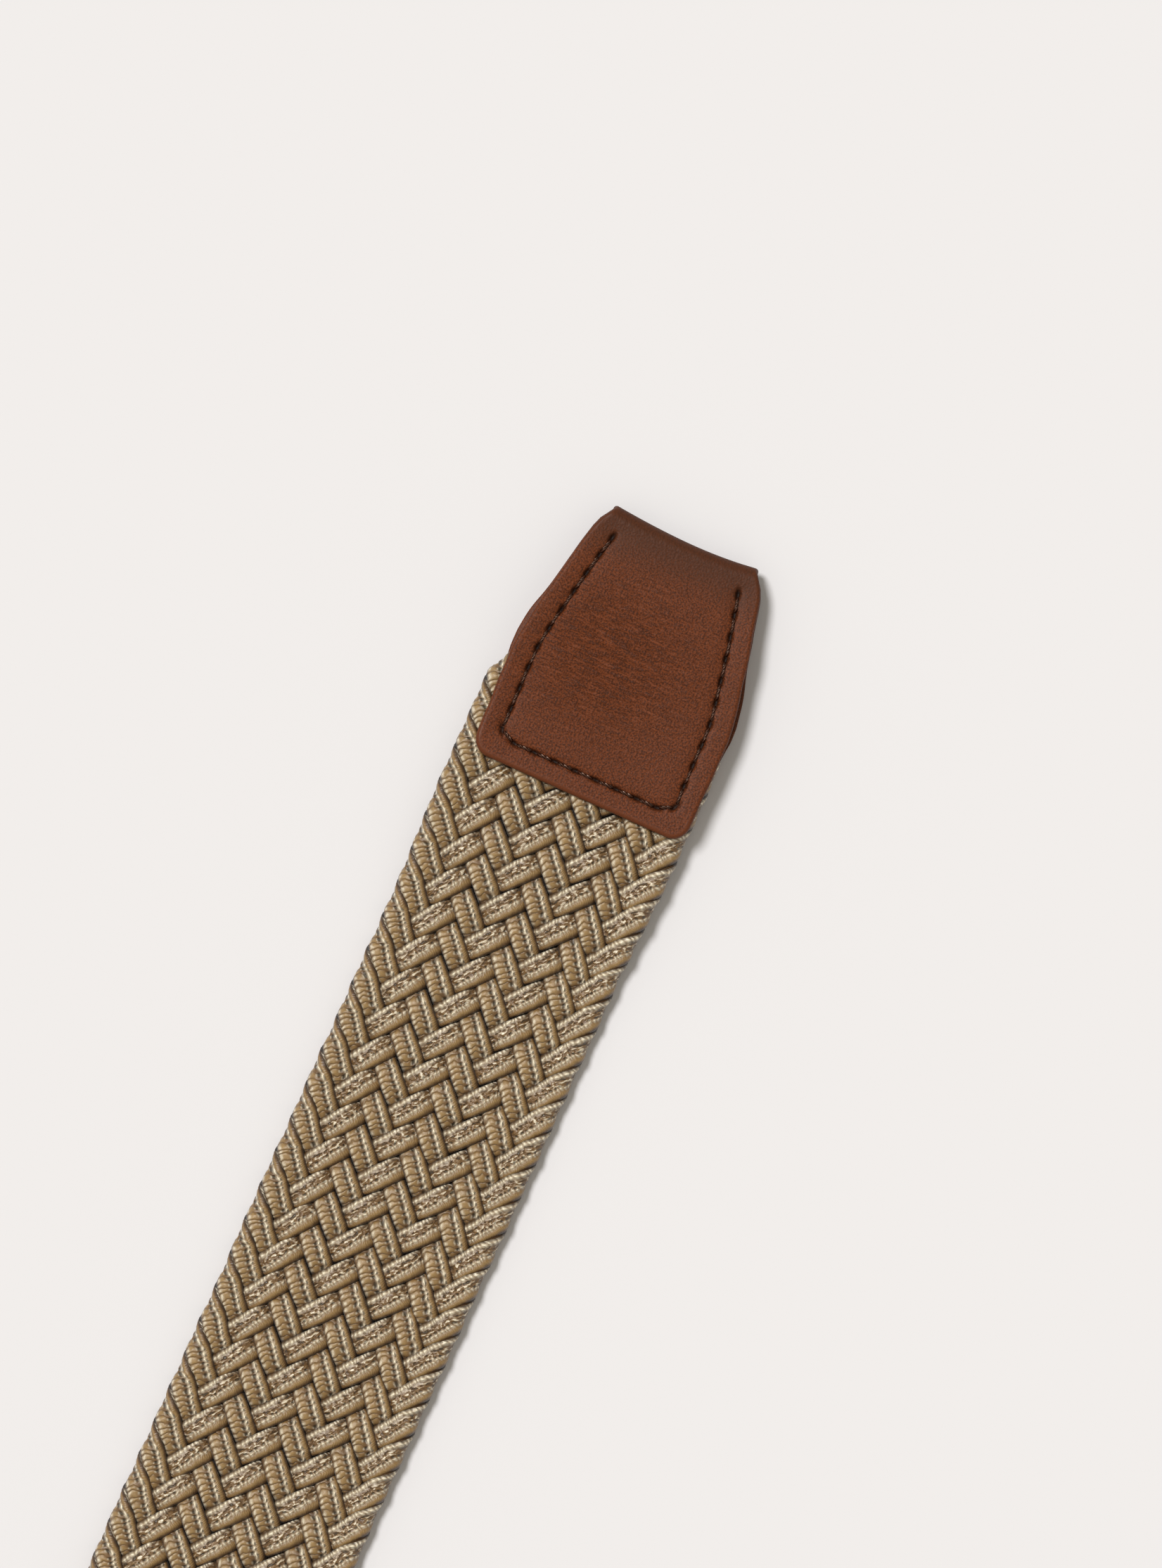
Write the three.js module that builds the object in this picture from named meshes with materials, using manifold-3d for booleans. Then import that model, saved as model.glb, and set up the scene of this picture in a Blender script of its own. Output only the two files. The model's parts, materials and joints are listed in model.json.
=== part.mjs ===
// A woven stretch belt with a folded leather tip, a leather chape, a sliding keeper
// and an end-bar buckle with a single prong. It lies straight and flat, front up.
// Millimetres, +Z up, +X from the buckle to the tip, Y across the strap.
// The origin is under the middle of the whole belt, on the surface it lies on.

import * as THREE from "three";
import { mergeVertices } from "three/addons/utils/BufferGeometryUtils.js";
import Module from "manifold-3d";

const wasm = await Module();
wasm.setup();

// ---- Driving dimensions ----------------------------------------------------

// Strap: a flat braid, measured from the bar's axis to the end of the tip.
const beltLength = 1050;
const strapWidth = 35;
const strapThickness = 3.5;
const strapEdgeRound = 1.3;
const linkCount = 14; // hinges that let the strap curl
const linkSwing = 20; // degrees, each way, at each hinge
const linkGap = 0.3;
const boundThickness = 2.4; // the cut ends, squeezed in their binding
const boundLength = 9;

// Leather, and the room it leaves.
const leather = 1.25;
const layerFit = 0.1; // between leather and what it encloses
const threadRadius = 0.32;
const grooveClearance = 0.2;
const stitchInset = 3.6;

// Tip: one piece of leather folded over the strap's end.
const tipLength = 41.5;
const tipMargin = 0.1; // how much narrower it is than the strap, at its widest
const tipShoulder = 24.5; // from the fold to its widest place
const tipFoldTaper = 11.5; // how much narrower it is at the fold
const tipMouthTaper = 0.9; // and at the mouth
const tipSideSwell = 0.25; // how much the sides bow out, 0 being straight
const tipCorner = 2.5;
const tipFoldDip = 0.5; // how far the middle of the fold is pulled in
const tipFoldGap = 1.3; // between the two layers at the fold
const tipOffset = 1; // the leather sits a little to one side of the strap
const tipStrapEnd = 15; // from the fold to the strap's cut end
const tipSeam = 4; // where the side seams start, from the fold

// Chape: the leather that folds round the bar.
const chapeLength = 48;
const chapeMargin = 0.5; // how much narrower it is than the strap
const chapeCorner = 2.5;
const chapeStrapEnd = 8.5; // from the bar's axis to the strap's cut end
const slotWidth = 4.2;
const slotEnd = 7;

// Buckle.
const barRadius = 1.55;
const barFit = 0.3;
const windowFit = 0.9; // beside the strap, each side
const frameArm = 5.4;
const frameRail = 6;
const frameReach = 29; // from the bar's axis to the inside of the rail
const frameThickness = 4.4;
const frameCorner = 6;
const frameEdge = 0.9;
const frameHeel = 3.4; // how far the arms run past the bar
const notchDepth = 0.9;
const prongWidth = 3.2;
const prongThickness = 1.5;
const prongOverhang = 4.6; // how far the prong runs over the rail
const prongFit = 0.3;

// Keeper: a leather loop that slides along the strap.
const keeperWidth = 14;
const keeperLeather = 1.2;
const keeperFit = 0.15; // under the chape
const keeperSideFit = 0.9;
const keeperTailRoom = 6; // for the belt's tail, above the chape
const keeperStart = 41; // from the bar's axis to its near edge
const keeperTravel = 38;
const keeperCorner = 1.6;

// How the strap comes down from the chape, and up into the tip.
const rampLength = 26;
const rampClearance = 6;

// ---- Sizes that follow -----------------------------------------------------

const tipShoulderWidth = strapWidth - tipMargin;
const tipFoldWidth = tipShoulderWidth - tipFoldTaper;
const tipMouthWidth = tipShoulderWidth - tipMouthTaper;
const chapeWidth = strapWidth - chapeMargin;
const frameWindowWidth = strapWidth + 2 * windowFit;

const halfThickness = strapThickness / 2;
const freeHeight = halfThickness; // the strap's middle plane where it lies free
const tipHeight = leather + layerFit + halfThickness;
const foldInner = halfThickness + layerFit;
const foldOuter = foldInner + leather;
const chapeInner = Math.max(foldInner, barRadius + barFit);
const chapeOuter = chapeInner + leather;
const chapeHeight = keeperLeather + keeperFit + chapeOuter;
const grooveRadius = threadRadius + grooveClearance;

const rampStart = keeperStart + keeperWidth + keeperTravel + rampClearance;
const rampEnd = rampStart + rampLength;
const firstHinge = rampEnd + rampClearance;
const tipMouth = beltLength - tipLength;
const tipRampEnd = tipMouth - rampClearance;
const tipRampStart = tipRampEnd - rampLength;
const lastHinge = tipRampStart - rampClearance;
const linkLength = (lastHinge - firstHinge) / (linkCount - 1);

const frameEnd = frameReach + frameRail;
const frameOuterWidth = frameWindowWidth + 2 * frameArm;
const frameTilt = Math.asin((chapeHeight - frameThickness / 2) / frameEnd);
const frameNose = (frameThickness / 2 - frameEdge) * Math.sin(frameTilt);
const originX = (beltLength - frameEnd * Math.cos(frameTilt) - frameNose) / 2;

// ---- Materials -------------------------------------------------------------

const strapMaterial = new THREE.MeshStandardMaterial({
  color: 0xa88b5e,
  roughness: 0.72,
  metalness: 0,
});
const leatherMaterial = new THREE.MeshStandardMaterial({
  color: 0x5a3a26,
  roughness: 0.5,
  metalness: 0,
});
const threadMaterial = new THREE.MeshStandardMaterial({
  color: 0x3a2418,
  roughness: 0.7,
  metalness: 0,
});
const tapeMaterial = new THREE.MeshStandardMaterial({
  color: 0x2c2620,
  roughness: 0.85,
  metalness: 0,
});
const metalMaterial = new THREE.MeshStandardMaterial({
  color: 0xb9b4aa,
  roughness: 0.34,
  metalness: 1,
});

// ---- Solids ----------------------------------------------------------------

function solidOf(geometry) {
  const bare = geometry.index ? geometry.toNonIndexed() : geometry.clone();
  bare.deleteAttribute("normal");
  bare.deleteAttribute("uv");
  const merged = mergeVertices(bare, 1e-5);
  return new wasm.Manifold(
    new wasm.Mesh({
      numProp: 3,
      vertProperties: new Float32Array(merged.attributes.position.array),
      triVerts: new Uint32Array(merged.index.array),
    }),
  );
}

function geometryOf(solid) {
  const mesh = solid.getMesh();
  const geometry = new THREE.BufferGeometry();
  geometry.setAttribute("position", new THREE.BufferAttribute(mesh.vertProperties, 3));
  geometry.setIndex(new THREE.BufferAttribute(mesh.triVerts, 1));
  geometry.computeVertexNormals();
  return geometry;
}

function part(name, solid, material) {
  const mesh = new THREE.Mesh(geometryOf(solid), material);
  mesh.name = name;
  return mesh;
}

// A shape drawn in X and Z, given a width across Y.
function across(shape, width, middle = 0, curveSegments = 10) {
  const geometry = new THREE.ExtrudeGeometry(shape, {
    depth: width,
    bevelEnabled: false,
    curveSegments,
  });
  geometry.rotateX(Math.PI / 2);
  geometry.translate(0, middle + width / 2, 0);
  return solidOf(geometry);
}

// A shape drawn in X and Y, given a height.
function upward(shape, low, high, curveSegments = 8) {
  const geometry = new THREE.ExtrudeGeometry(shape, {
    depth: high - low,
    bevelEnabled: false,
    curveSegments,
  });
  geometry.translate(0, 0, low);
  return solidOf(geometry);
}

function polygon(points) {
  return new THREE.Shape(points.map(([x, y]) => new THREE.Vector2(x, y)));
}

function smooth(t) {
  const s = Math.min(Math.max(t, 0), 1);
  return s * s * (3 - 2 * s);
}

// ---- The strap's run, and its links ----------------------------------------

// The height of the strap's middle plane at a distance x from the bar.
function strapHeight(x) {
  const down = smooth((x - rampStart) / rampLength);
  const up = smooth((x - tipRampStart) / rampLength);
  return chapeHeight + (freeHeight - chapeHeight) * down + (tipHeight - freeHeight) * up;
}

class StrapRun extends THREE.Curve {
  constructor(start, end) {
    super();
    this.start = start;
    this.end = end;
  }

  getPoint(t, target = new THREE.Vector3()) {
    const x = this.start + (this.end - this.start) * t;
    return target.set(x, 0, strapHeight(x));
  }
}

// The strap's section: a flat band with rounded edges. Its first axis is thickness.
function strapSection(thickness, width, round) {
  const shape = new THREE.Shape();
  const t = thickness / 2;
  const w = width / 2;
  shape.moveTo(-t + round, -w);
  shape.lineTo(t - round, -w);
  shape.absarc(t - round, -w + round, round, -Math.PI / 2, 0);
  shape.lineTo(t, w - round);
  shape.absarc(t - round, w - round, round, 0, Math.PI / 2);
  shape.lineTo(-t + round, w);
  shape.absarc(-t + round, w - round, round, Math.PI / 2, Math.PI);
  shape.lineTo(-t, -w + round);
  shape.absarc(-t + round, -w + round, round, Math.PI, 1.5 * Math.PI);
  return shape;
}

function band(start, end, steps) {
  const geometry = new THREE.ExtrudeGeometry(
    strapSection(strapThickness, strapWidth, strapEdgeRound),
    { steps, curveSegments: 2, extrudePath: new StrapRun(start, end) },
  );
  return solidOf(geometry);
}

// The side view that a link is cut to. An end at a hinge is a ridge on the hinge's
// axis, so that the links can turn both ways. A bound end is a thinner tongue.
function linkSide(start, end) {
  const tall = 2 * strapThickness;
  const lean = tall * Math.tan(THREE.MathUtils.degToRad(linkSwing / 2 + 1));
  const points = [];
  if (start === null) {
    const z = chapeHeight;
    const thin = boundThickness / 2;
    const neck = chapeStrapEnd + boundLength;
    points.push([neck, z + tall], [neck, z + thin], [chapeStrapEnd, z + thin]);
    points.push([chapeStrapEnd, z - thin], [neck, z - thin], [neck, z - tall]);
  } else {
    const ridge = start + linkGap / 2;
    points.push([ridge + lean, freeHeight + tall], [ridge, freeHeight]);
    points.push([ridge + lean, freeHeight - tall]);
  }
  if (end === null) {
    const z = tipHeight;
    const thin = boundThickness / 2;
    const last = beltLength - tipStrapEnd;
    const neck = last - boundLength;
    points.push([neck, z - tall], [neck, z - thin], [last, z - thin]);
    points.push([last, z + thin], [neck, z + thin], [neck, z + tall]);
  } else {
    const ridge = end - linkGap / 2;
    points.push([ridge - lean, freeHeight - tall], [ridge, freeHeight]);
    points.push([ridge - lean, freeHeight + tall]);
  }
  return polygon(points);
}

function strapLink(index) {
  const start = index === 0 ? null : firstHinge + (index - 1) * linkLength;
  const end = index === linkCount ? null : firstHinge + index * linkLength;
  const from = start ?? chapeStrapEnd - 1;
  const to = end ?? beltLength - tipStrapEnd + 1;
  const bent = start === null || end === null;
  let solid = band(from, to, bent ? 24 : 1);
  solid = solid.intersect(across(linkSide(start, end), 2 * strapWidth));
  if (end === null) {
    solid = solid.intersect(upward(tipStrapPlan(), -strapWidth, strapWidth));
  }
  const number = String(index + 1).padStart(2, "0");
  return part(`strap_link_${number}`, solid, strapMaterial);
}

// The binding folded over a cut end of the strap, sewn flat under the leather.
function endBinding(name, cutEnd, inward, height, width, middle) {
  const tape = halfThickness - boundThickness / 2 - layerFit;
  const inside = boundThickness / 2 + layerFit / 2;
  const outside = inside + tape;
  const mouth = cutEnd + inward * (boundLength - 1);
  const inner = cutEnd - inward * layerFit;
  const outer = inner - inward * tape;
  const shape = polygon([
    [mouth, height - outside],
    [outer, height - outside],
    [outer, height + outside],
    [mouth, height + outside],
    [mouth, height + inside],
    [inner, height + inside],
    [inner, height - inside],
    [mouth, height - inside],
  ]);
  return part(name, across(shape, width, middle), tapeMaterial);
}

// ---- Tip -------------------------------------------------------------------

// Half the tip's width at a distance from the fold.
function tipHalfWidth(distance) {
  const share = Math.min(distance / tipShoulder, 1);
  const swell = tipSideSwell * Math.sin((share * Math.PI) / 2) + (1 - tipSideSwell) * share;
  const fall = Math.max(distance - tipShoulder, 0) / (tipLength - tipShoulder);
  return (tipFoldWidth + tipFoldTaper * swell - tipMouthTaper * fall) / 2;
}

// The leather's outline, or the same outline drawn in by an inset.
function tipOutline(inset = 0) {
  const steps = 14;
  const foldX = beltLength - inset;
  const side = [];
  for (let i = 0; i <= steps; i += 1) {
    const distance = ((tipLength - tipCorner) * i) / steps;
    side.push([beltLength - Math.max(distance, inset), tipHalfWidth(distance) - inset]);
  }
  const shape = new THREE.Shape();
  shape.moveTo(side[0][0], -tipOffset - side[0][1]);
  shape.quadraticCurveTo(
    foldX - 2 * tipFoldDip,
    -tipOffset,
    side[0][0],
    -tipOffset + side[0][1],
  );
  side.slice(1).forEach(([x, y]) => shape.lineTo(x, -tipOffset + y));
  const half = tipMouthWidth / 2;
  shape.lineTo(tipMouth + tipCorner, -tipOffset + half);
  shape.absarc(
    tipMouth + tipCorner,
    -tipOffset + half - tipCorner,
    tipCorner,
    Math.PI / 2,
    Math.PI,
  );
  shape.lineTo(tipMouth, -tipOffset - half + tipCorner);
  shape.absarc(
    tipMouth + tipCorner,
    -tipOffset - half + tipCorner,
    tipCorner,
    Math.PI,
    1.5 * Math.PI,
  );
  side
    .slice(1)
    .reverse()
    .forEach(([x, y]) => shape.lineTo(x, -tipOffset - y));
  return shape;
}

// The strap keeps its width outside the tip, and is trimmed to it inside.
function tipStrapPlan() {
  const trim = 2 * layerFit + leather / 2;
  const points = [];
  for (let i = 0; i <= 6; i += 1) {
    const distance = tipStrapEnd + ((tipShoulder - tipStrapEnd) * i) / 6;
    points.push([beltLength - distance, tipHalfWidth(distance) - trim]);
  }
  const wide = strapWidth;
  const shoulder = beltLength - tipShoulder - trim;
  const upper = points.map(([x, y]) => [x, y - tipOffset]);
  const lower = points.map(([x, y]) => [x, -y - tipOffset]).reverse();
  return polygon([
    ...upper,
    [shoulder, wide],
    [lastHinge - linkLength, wide],
    [lastHinge - linkLength, -wide],
    [shoulder, -wide],
    ...lower,
  ]);
}

// The height of the tip's upper face at a distance x from the bar.
function tipTop(x) {
  const full = tipHeight + foldOuter;
  const low = 2 * leather + tipFoldGap;
  const flatEnd = beltLength - tipStrapEnd + 2;
  const foldStart = beltLength - low / 2;
  return full + (low - full) * smooth((x - flatEnd) / (foldStart - flatEnd));
}

// The tip in side view: a lower layer on the surface, the fold, and an upper layer.
function tipSide() {
  const low = 2 * leather + tipFoldGap;
  const outerRadius = low / 2;
  const innerRadius = tipFoldGap / 2;
  const foldX = beltLength - outerRadius;
  const flatEnd = beltLength - tipStrapEnd + 2;
  const steps = 6;
  const shape = new THREE.Shape();
  shape.moveTo(tipMouth, 0);
  shape.lineTo(foldX, 0);
  shape.absarc(foldX, outerRadius, outerRadius, -Math.PI / 2, Math.PI / 2);
  for (let i = 1; i <= steps; i += 1) {
    const x = foldX + ((flatEnd - foldX) * i) / steps;
    shape.lineTo(x, tipTop(x));
  }
  shape.lineTo(tipMouth, tipTop(tipMouth));
  shape.lineTo(tipMouth, tipTop(tipMouth) - leather);
  for (let i = steps; i >= 0; i -= 1) {
    const x = foldX + ((flatEnd - foldX) * i) / steps;
    shape.lineTo(x, tipTop(x) - leather);
  }
  shape.absarc(foldX, outerRadius, innerRadius, Math.PI / 2, -Math.PI / 2, true);
  shape.lineTo(tipMouth, leather);
  return shape;
}

// The seam's route: down one side, across by the mouth, and up the other side.
function tipSeamRoute(heightAt) {
  const points = [];
  const steps = 10;
  const sideEnd = tipLength - stitchInset - tipCorner;
  const at = (distance, y) =>
    points.push(
      new THREE.Vector3(beltLength - distance, y - tipOffset, heightAt(beltLength - distance)),
    );
  for (let i = 0; i <= steps; i += 1) {
    const distance = tipSeam + ((sideEnd - tipSeam) * i) / steps;
    at(distance, tipHalfWidth(distance) - stitchInset);
  }
  const row = tipLength - stitchInset;
  const rowHalf = tipMouthWidth / 2 - stitchInset - tipCorner;
  for (let i = 0; i <= 4; i += 1) {
    at(row, rowHalf * (1 - i / 2));
  }
  for (let i = steps; i >= 0; i -= 1) {
    const distance = tipSeam + ((sideEnd - tipSeam) * i) / steps;
    at(distance, -tipHalfWidth(distance) + stitchInset);
  }
  return new THREE.CatmullRomCurve3(points, false, "centripetal");
}

function tube(route, radius, steps) {
  const section = new THREE.Shape();
  section.absarc(0, 0, radius, 0, 2 * Math.PI);
  const geometry = new THREE.ExtrudeGeometry(section, {
    steps,
    curveSegments: 4,
    extrudePath: route,
  });
  return solidOf(geometry);
}

// Each seam lies in a groove: proud of the upper face, flush with the lower one.
const proudThread = 0.12;
const flushThread = 0.06;
const seamSteps = 48;

function topThreadHeight(x) {
  return tipTop(x) - threadRadius + proudThread;
}

function lowThreadHeight() {
  return threadRadius + flushThread;
}

function tipLeather() {
  const plan = upward(tipOutline(), -1, 3 * foldOuter);
  const upperGroove = tube(tipSeamRoute(topThreadHeight), grooveRadius, seamSteps);
  const lowerGroove = tube(tipSeamRoute(lowThreadHeight), grooveRadius, seamSteps);
  const solid = across(tipSide(), 2 * strapWidth)
    .intersect(plan)
    .subtract(upperGroove)
    .subtract(lowerGroove);
  return part("tip_leather", solid, leatherMaterial);
}

function tipThread(name, heightAt) {
  return part(name, tube(tipSeamRoute(heightAt), threadRadius, seamSteps), threadMaterial);
}

// ---- Chape -----------------------------------------------------------------

function chapeSide() {
  const shape = new THREE.Shape();
  const z = chapeHeight;
  shape.moveTo(chapeLength, z + chapeOuter);
  shape.lineTo(0, z + chapeOuter);
  shape.absarc(0, z, chapeOuter, Math.PI / 2, 1.5 * Math.PI);
  shape.lineTo(chapeLength, z - chapeOuter);
  shape.lineTo(chapeLength, z - chapeInner);
  shape.lineTo(0, z - chapeInner);
  shape.absarc(0, z, chapeInner, 1.5 * Math.PI, Math.PI / 2, true);
  shape.lineTo(chapeLength, z + chapeInner);
  return shape;
}

function chapePlan() {
  const shape = new THREE.Shape();
  const half = chapeWidth / 2;
  const back = -2 * chapeOuter;
  shape.moveTo(back, -half);
  shape.lineTo(chapeLength - chapeCorner, -half);
  shape.absarc(chapeLength - chapeCorner, -half + chapeCorner, chapeCorner, -Math.PI / 2, 0);
  shape.lineTo(chapeLength, half - chapeCorner);
  shape.absarc(chapeLength - chapeCorner, half - chapeCorner, chapeCorner, 0, Math.PI / 2);
  shape.lineTo(back, half);
  return shape;
}

// The prong's slot, through both layers where they turn round the bar.
function chapeSlot() {
  const shape = new THREE.Shape();
  const half = slotWidth / 2;
  shape.moveTo(-2 * chapeOuter, -half);
  shape.lineTo(slotEnd - half, -half);
  shape.absarc(slotEnd - half, 0, half, -Math.PI / 2, Math.PI / 2);
  shape.lineTo(-2 * chapeOuter, half);
  return upward(shape, -1, chapeHeight + 2 * chapeOuter);
}

function chapeSeamRoute(height) {
  const half = chapeWidth / 2 - stitchInset;
  const start = slotEnd + 1;
  const row = chapeLength - stitchInset;
  const points = [
    [start, half],
    [start + (row - start) / 3, half],
    [start + (2 * (row - start)) / 3, half],
    [row - chapeCorner, half],
    [row, half - chapeCorner],
    [row, 0],
    [row, -half + chapeCorner],
    [row - chapeCorner, -half],
    [start + (2 * (row - start)) / 3, -half],
    [start + (row - start) / 3, -half],
    [start, -half],
  ];
  return new THREE.CatmullRomCurve3(
    points.map(([x, y]) => new THREE.Vector3(x, y, height)),
    false,
    "centripetal",
  );
}

const chapeTopThread = chapeHeight + chapeOuter - threadRadius + proudThread;
const chapeLowThread = chapeHeight - chapeOuter + threadRadius + flushThread;

function chapeLeather() {
  const solid = across(chapeSide(), 2 * strapWidth)
    .intersect(upward(chapePlan(), -1, chapeHeight + 2 * chapeOuter))
    .subtract(chapeSlot())
    .subtract(tube(chapeSeamRoute(chapeTopThread), grooveRadius, seamSteps))
    .subtract(tube(chapeSeamRoute(chapeLowThread), grooveRadius, seamSteps));
  return part("chape_leather", solid, leatherMaterial);
}

function chapeThread(name, height) {
  return part(name, tube(chapeSeamRoute(height), threadRadius, seamSteps), threadMaterial);
}

// ---- Buckle ----------------------------------------------------------------
// These are drawn with the bar's axis along Y through their own zero.

function roundedEnd(shape, farX, nearX, half, corner, heel) {
  shape.moveTo(nearX, -half + heel);
  shape.absarc(nearX - heel, -half + heel, heel, 0, -Math.PI / 2, true);
  shape.lineTo(farX + corner, -half);
  shape.absarc(farX + corner, -half + corner, corner, -Math.PI / 2, -Math.PI, true);
  shape.lineTo(farX, half - corner);
  shape.absarc(farX + corner, half - corner, corner, Math.PI, Math.PI / 2, true);
  shape.lineTo(nearX - heel, half);
  shape.absarc(nearX - heel, half - heel, heel, Math.PI / 2, 0, true);
}

// The frame is a U: two arms and a rail. The bar closes it.
function buckleFrame() {
  const outer = frameOuterWidth / 2 - frameEdge;
  const inner = frameWindowWidth / 2 + frameEdge;
  const innerCorner = Math.max(frameCorner - frameRail / 2, 1);
  const heel = frameArm / 2 - frameEdge - 0.01;
  const shape = new THREE.Shape();
  roundedEnd(
    shape,
    -frameEnd + frameEdge,
    frameHeel - frameEdge,
    outer,
    frameCorner - frameEdge,
    heel,
  );
  shape.lineTo(frameHeel - frameEdge, inner + heel);
  shape.absarc(frameHeel - frameEdge - heel, inner + heel, heel, 0, -Math.PI / 2, true);
  shape.lineTo(-frameReach - frameEdge + innerCorner, inner);
  shape.absarc(
    -frameReach - frameEdge + innerCorner,
    inner - innerCorner,
    innerCorner,
    Math.PI / 2,
    Math.PI,
  );
  shape.lineTo(-frameReach - frameEdge, -inner + innerCorner);
  shape.absarc(
    -frameReach - frameEdge + innerCorner,
    -inner + innerCorner,
    innerCorner,
    Math.PI,
    1.5 * Math.PI,
  );
  shape.lineTo(frameHeel - frameEdge - heel, -inner);
  shape.absarc(frameHeel - frameEdge - heel, -inner - heel, heel, Math.PI / 2, 0, true);
  const geometry = new THREE.ExtrudeGeometry(shape, {
    depth: frameThickness - 2 * frameEdge,
    bevelEnabled: true,
    bevelThickness: frameEdge,
    bevelSize: frameEdge,
    bevelSegments: 3,
    curveSegments: 6,
  });
  geometry.translate(0, 0, -frameThickness / 2 + frameEdge);
  const hole = new THREE.CylinderGeometry(
    barRadius + barFit,
    barRadius + barFit,
    2 * frameOuterWidth,
    24,
  );
  const notchHalf = prongWidth / 2 + prongFit;
  const notchFloor = frameThickness / 2 - notchDepth;
  const notch = across(
    polygon([
      [-2 * frameEnd, notchFloor],
      [-frameReach + frameRail, notchFloor],
      [-frameReach + frameRail, frameThickness],
      [-2 * frameEnd, frameThickness],
    ]),
    2 * notchHalf,
  );
  const solid = solidOf(geometry).subtract(solidOf(hole)).subtract(notch);
  return part("buckle_frame", solid, metalMaterial);
}

function buckleBar() {
  const geometry = new THREE.CylinderGeometry(
    barRadius,
    barRadius,
    frameOuterWidth - 0.4,
    24,
  );
  return part("buckle_bar", solidOf(geometry), metalMaterial);
}

// The prong: a curl round the bar, and a shank that lies in the rail's notch.
function buckleProng() {
  const inner = barRadius + prongFit;
  const outer = inner + prongThickness;
  const lift = frameThickness / 2 - notchDepth + prongFit;
  const reach = frameReach + prongOverhang;
  const seam = THREE.MathUtils.degToRad(128);
  const open = THREE.MathUtils.degToRad(12);
  const shape = new THREE.Shape();
  shape.moveTo(0, outer);
  shape.absarc(0, 0, outer, Math.PI / 2, seam + open - 2 * Math.PI, true);
  shape.absarc(0, 0, inner, seam + open - 2 * Math.PI, Math.PI / 2, false);
  shape.lineTo(-inner * 0.4, inner);
  shape.quadraticCurveTo(-reach / 2, inner + 0.25, -reach + 3, lift);
  shape.lineTo(-reach + 0.4, lift);
  shape.quadraticCurveTo(-reach - 0.2, lift + 0.4, -reach + 0.3, lift + prongThickness * 0.7);
  shape.quadraticCurveTo(
    -reach + 3,
    lift + prongThickness + 0.1,
    -reach + 7,
    lift + prongThickness + 0.15,
  );
  shape.lineTo(0, outer);
  return part("buckle_prong", across(shape, prongWidth, 0, 12), metalMaterial);
}

function buckle() {
  const group = new THREE.Group();
  group.position.set(0, 0, chapeHeight);
  group.rotation.y = -frameTilt;
  group.add(buckleFrame(), buckleBar(), buckleProng());
  return group;
}

// ---- Keeper ----------------------------------------------------------------

function roundedRectangle(lowY, highY, lowZ, highZ, corner) {
  const shape = new THREE.Shape();
  shape.moveTo(lowY + corner, lowZ);
  shape.lineTo(highY - corner, lowZ);
  shape.absarc(highY - corner, lowZ + corner, corner, -Math.PI / 2, 0);
  shape.lineTo(highY, highZ - corner);
  shape.absarc(highY - corner, highZ - corner, corner, 0, Math.PI / 2);
  shape.lineTo(lowY + corner, highZ);
  shape.absarc(lowY + corner, highZ - corner, corner, Math.PI / 2, Math.PI);
  shape.lineTo(lowY, lowZ + corner);
  shape.absarc(lowY + corner, lowZ + corner, corner, Math.PI, 1.5 * Math.PI);
  return shape;
}

const keeperInnerHalf = Math.max(strapWidth, chapeWidth) / 2 + keeperSideFit;
const keeperInnerTop = chapeHeight + chapeOuter + keeperTailRoom;

// A loop drawn in Y and Z, given its width along X.
function alongStrap(shape, start, width) {
  const geometry = new THREE.ExtrudeGeometry(shape, {
    depth: width,
    bevelEnabled: false,
    curveSegments: 6,
  });
  geometry.rotateX(Math.PI / 2);
  geometry.rotateZ(Math.PI / 2);
  geometry.translate(start, 0, 0);
  return solidOf(geometry);
}

function keeperLoop() {
  const outside = roundedRectangle(
    -keeperInnerHalf - keeperLeather,
    keeperInnerHalf + keeperLeather,
    0,
    keeperInnerTop + keeperLeather,
    keeperCorner + keeperLeather,
  );
  const inside = roundedRectangle(
    -keeperInnerHalf,
    keeperInnerHalf,
    keeperLeather,
    keeperInnerTop,
    keeperCorner,
  );
  outside.holes.push(inside);
  const slots = keeperStitches(grooveRadius + 0.1);
  const solid = alongStrap(outside, keeperStart, keeperWidth).subtract(slots);
  return part("keeper_loop", solid, leatherMaterial);
}

// The thread that closes the loop underneath: one flat zigzag in its groove.
function keeperStitches(radius) {
  const points = [];
  const turns = 4;
  const margin = 2.4;
  for (let i = 0; i <= turns; i += 1) {
    const x = keeperStart + margin + ((keeperWidth - 2 * margin) * i) / turns;
    points.push(new THREE.Vector3(x, i % 2 ? 2 : -2, threadRadius + flushThread));
  }
  return tube(new THREE.CatmullRomCurve3(points, false, "centripetal"), radius, 24);
}

function keeperThread() {
  return part("keeper_thread", keeperStitches(threadRadius), threadMaterial);
}

// ---- The belt --------------------------------------------------------------

const belt = new THREE.Group();
belt.position.set(-originX, 0, 0);

for (let i = 0; i <= linkCount; i += 1) {
  belt.add(strapLink(i));
}

const bindingWidth = 2 * (tipHalfWidth(tipStrapEnd) - leather);
belt.add(
  tipLeather(),
  tipThread("tip_front_thread", topThreadHeight),
  tipThread("tip_back_thread", lowThreadHeight),
  endBinding("tip_end_binding", beltLength - tipStrapEnd, -1, tipHeight, bindingWidth, -tipOffset),
  chapeLeather(),
  chapeThread("chape_front_thread", chapeTopThread),
  chapeThread("chape_back_thread", chapeLowThread),
  endBinding("chape_end_binding", chapeStrapEnd, 1, chapeHeight, chapeWidth - 2 * leather, 0),
  buckle(),
  keeperLoop(),
  keeperThread(),
);

export default belt;
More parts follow.
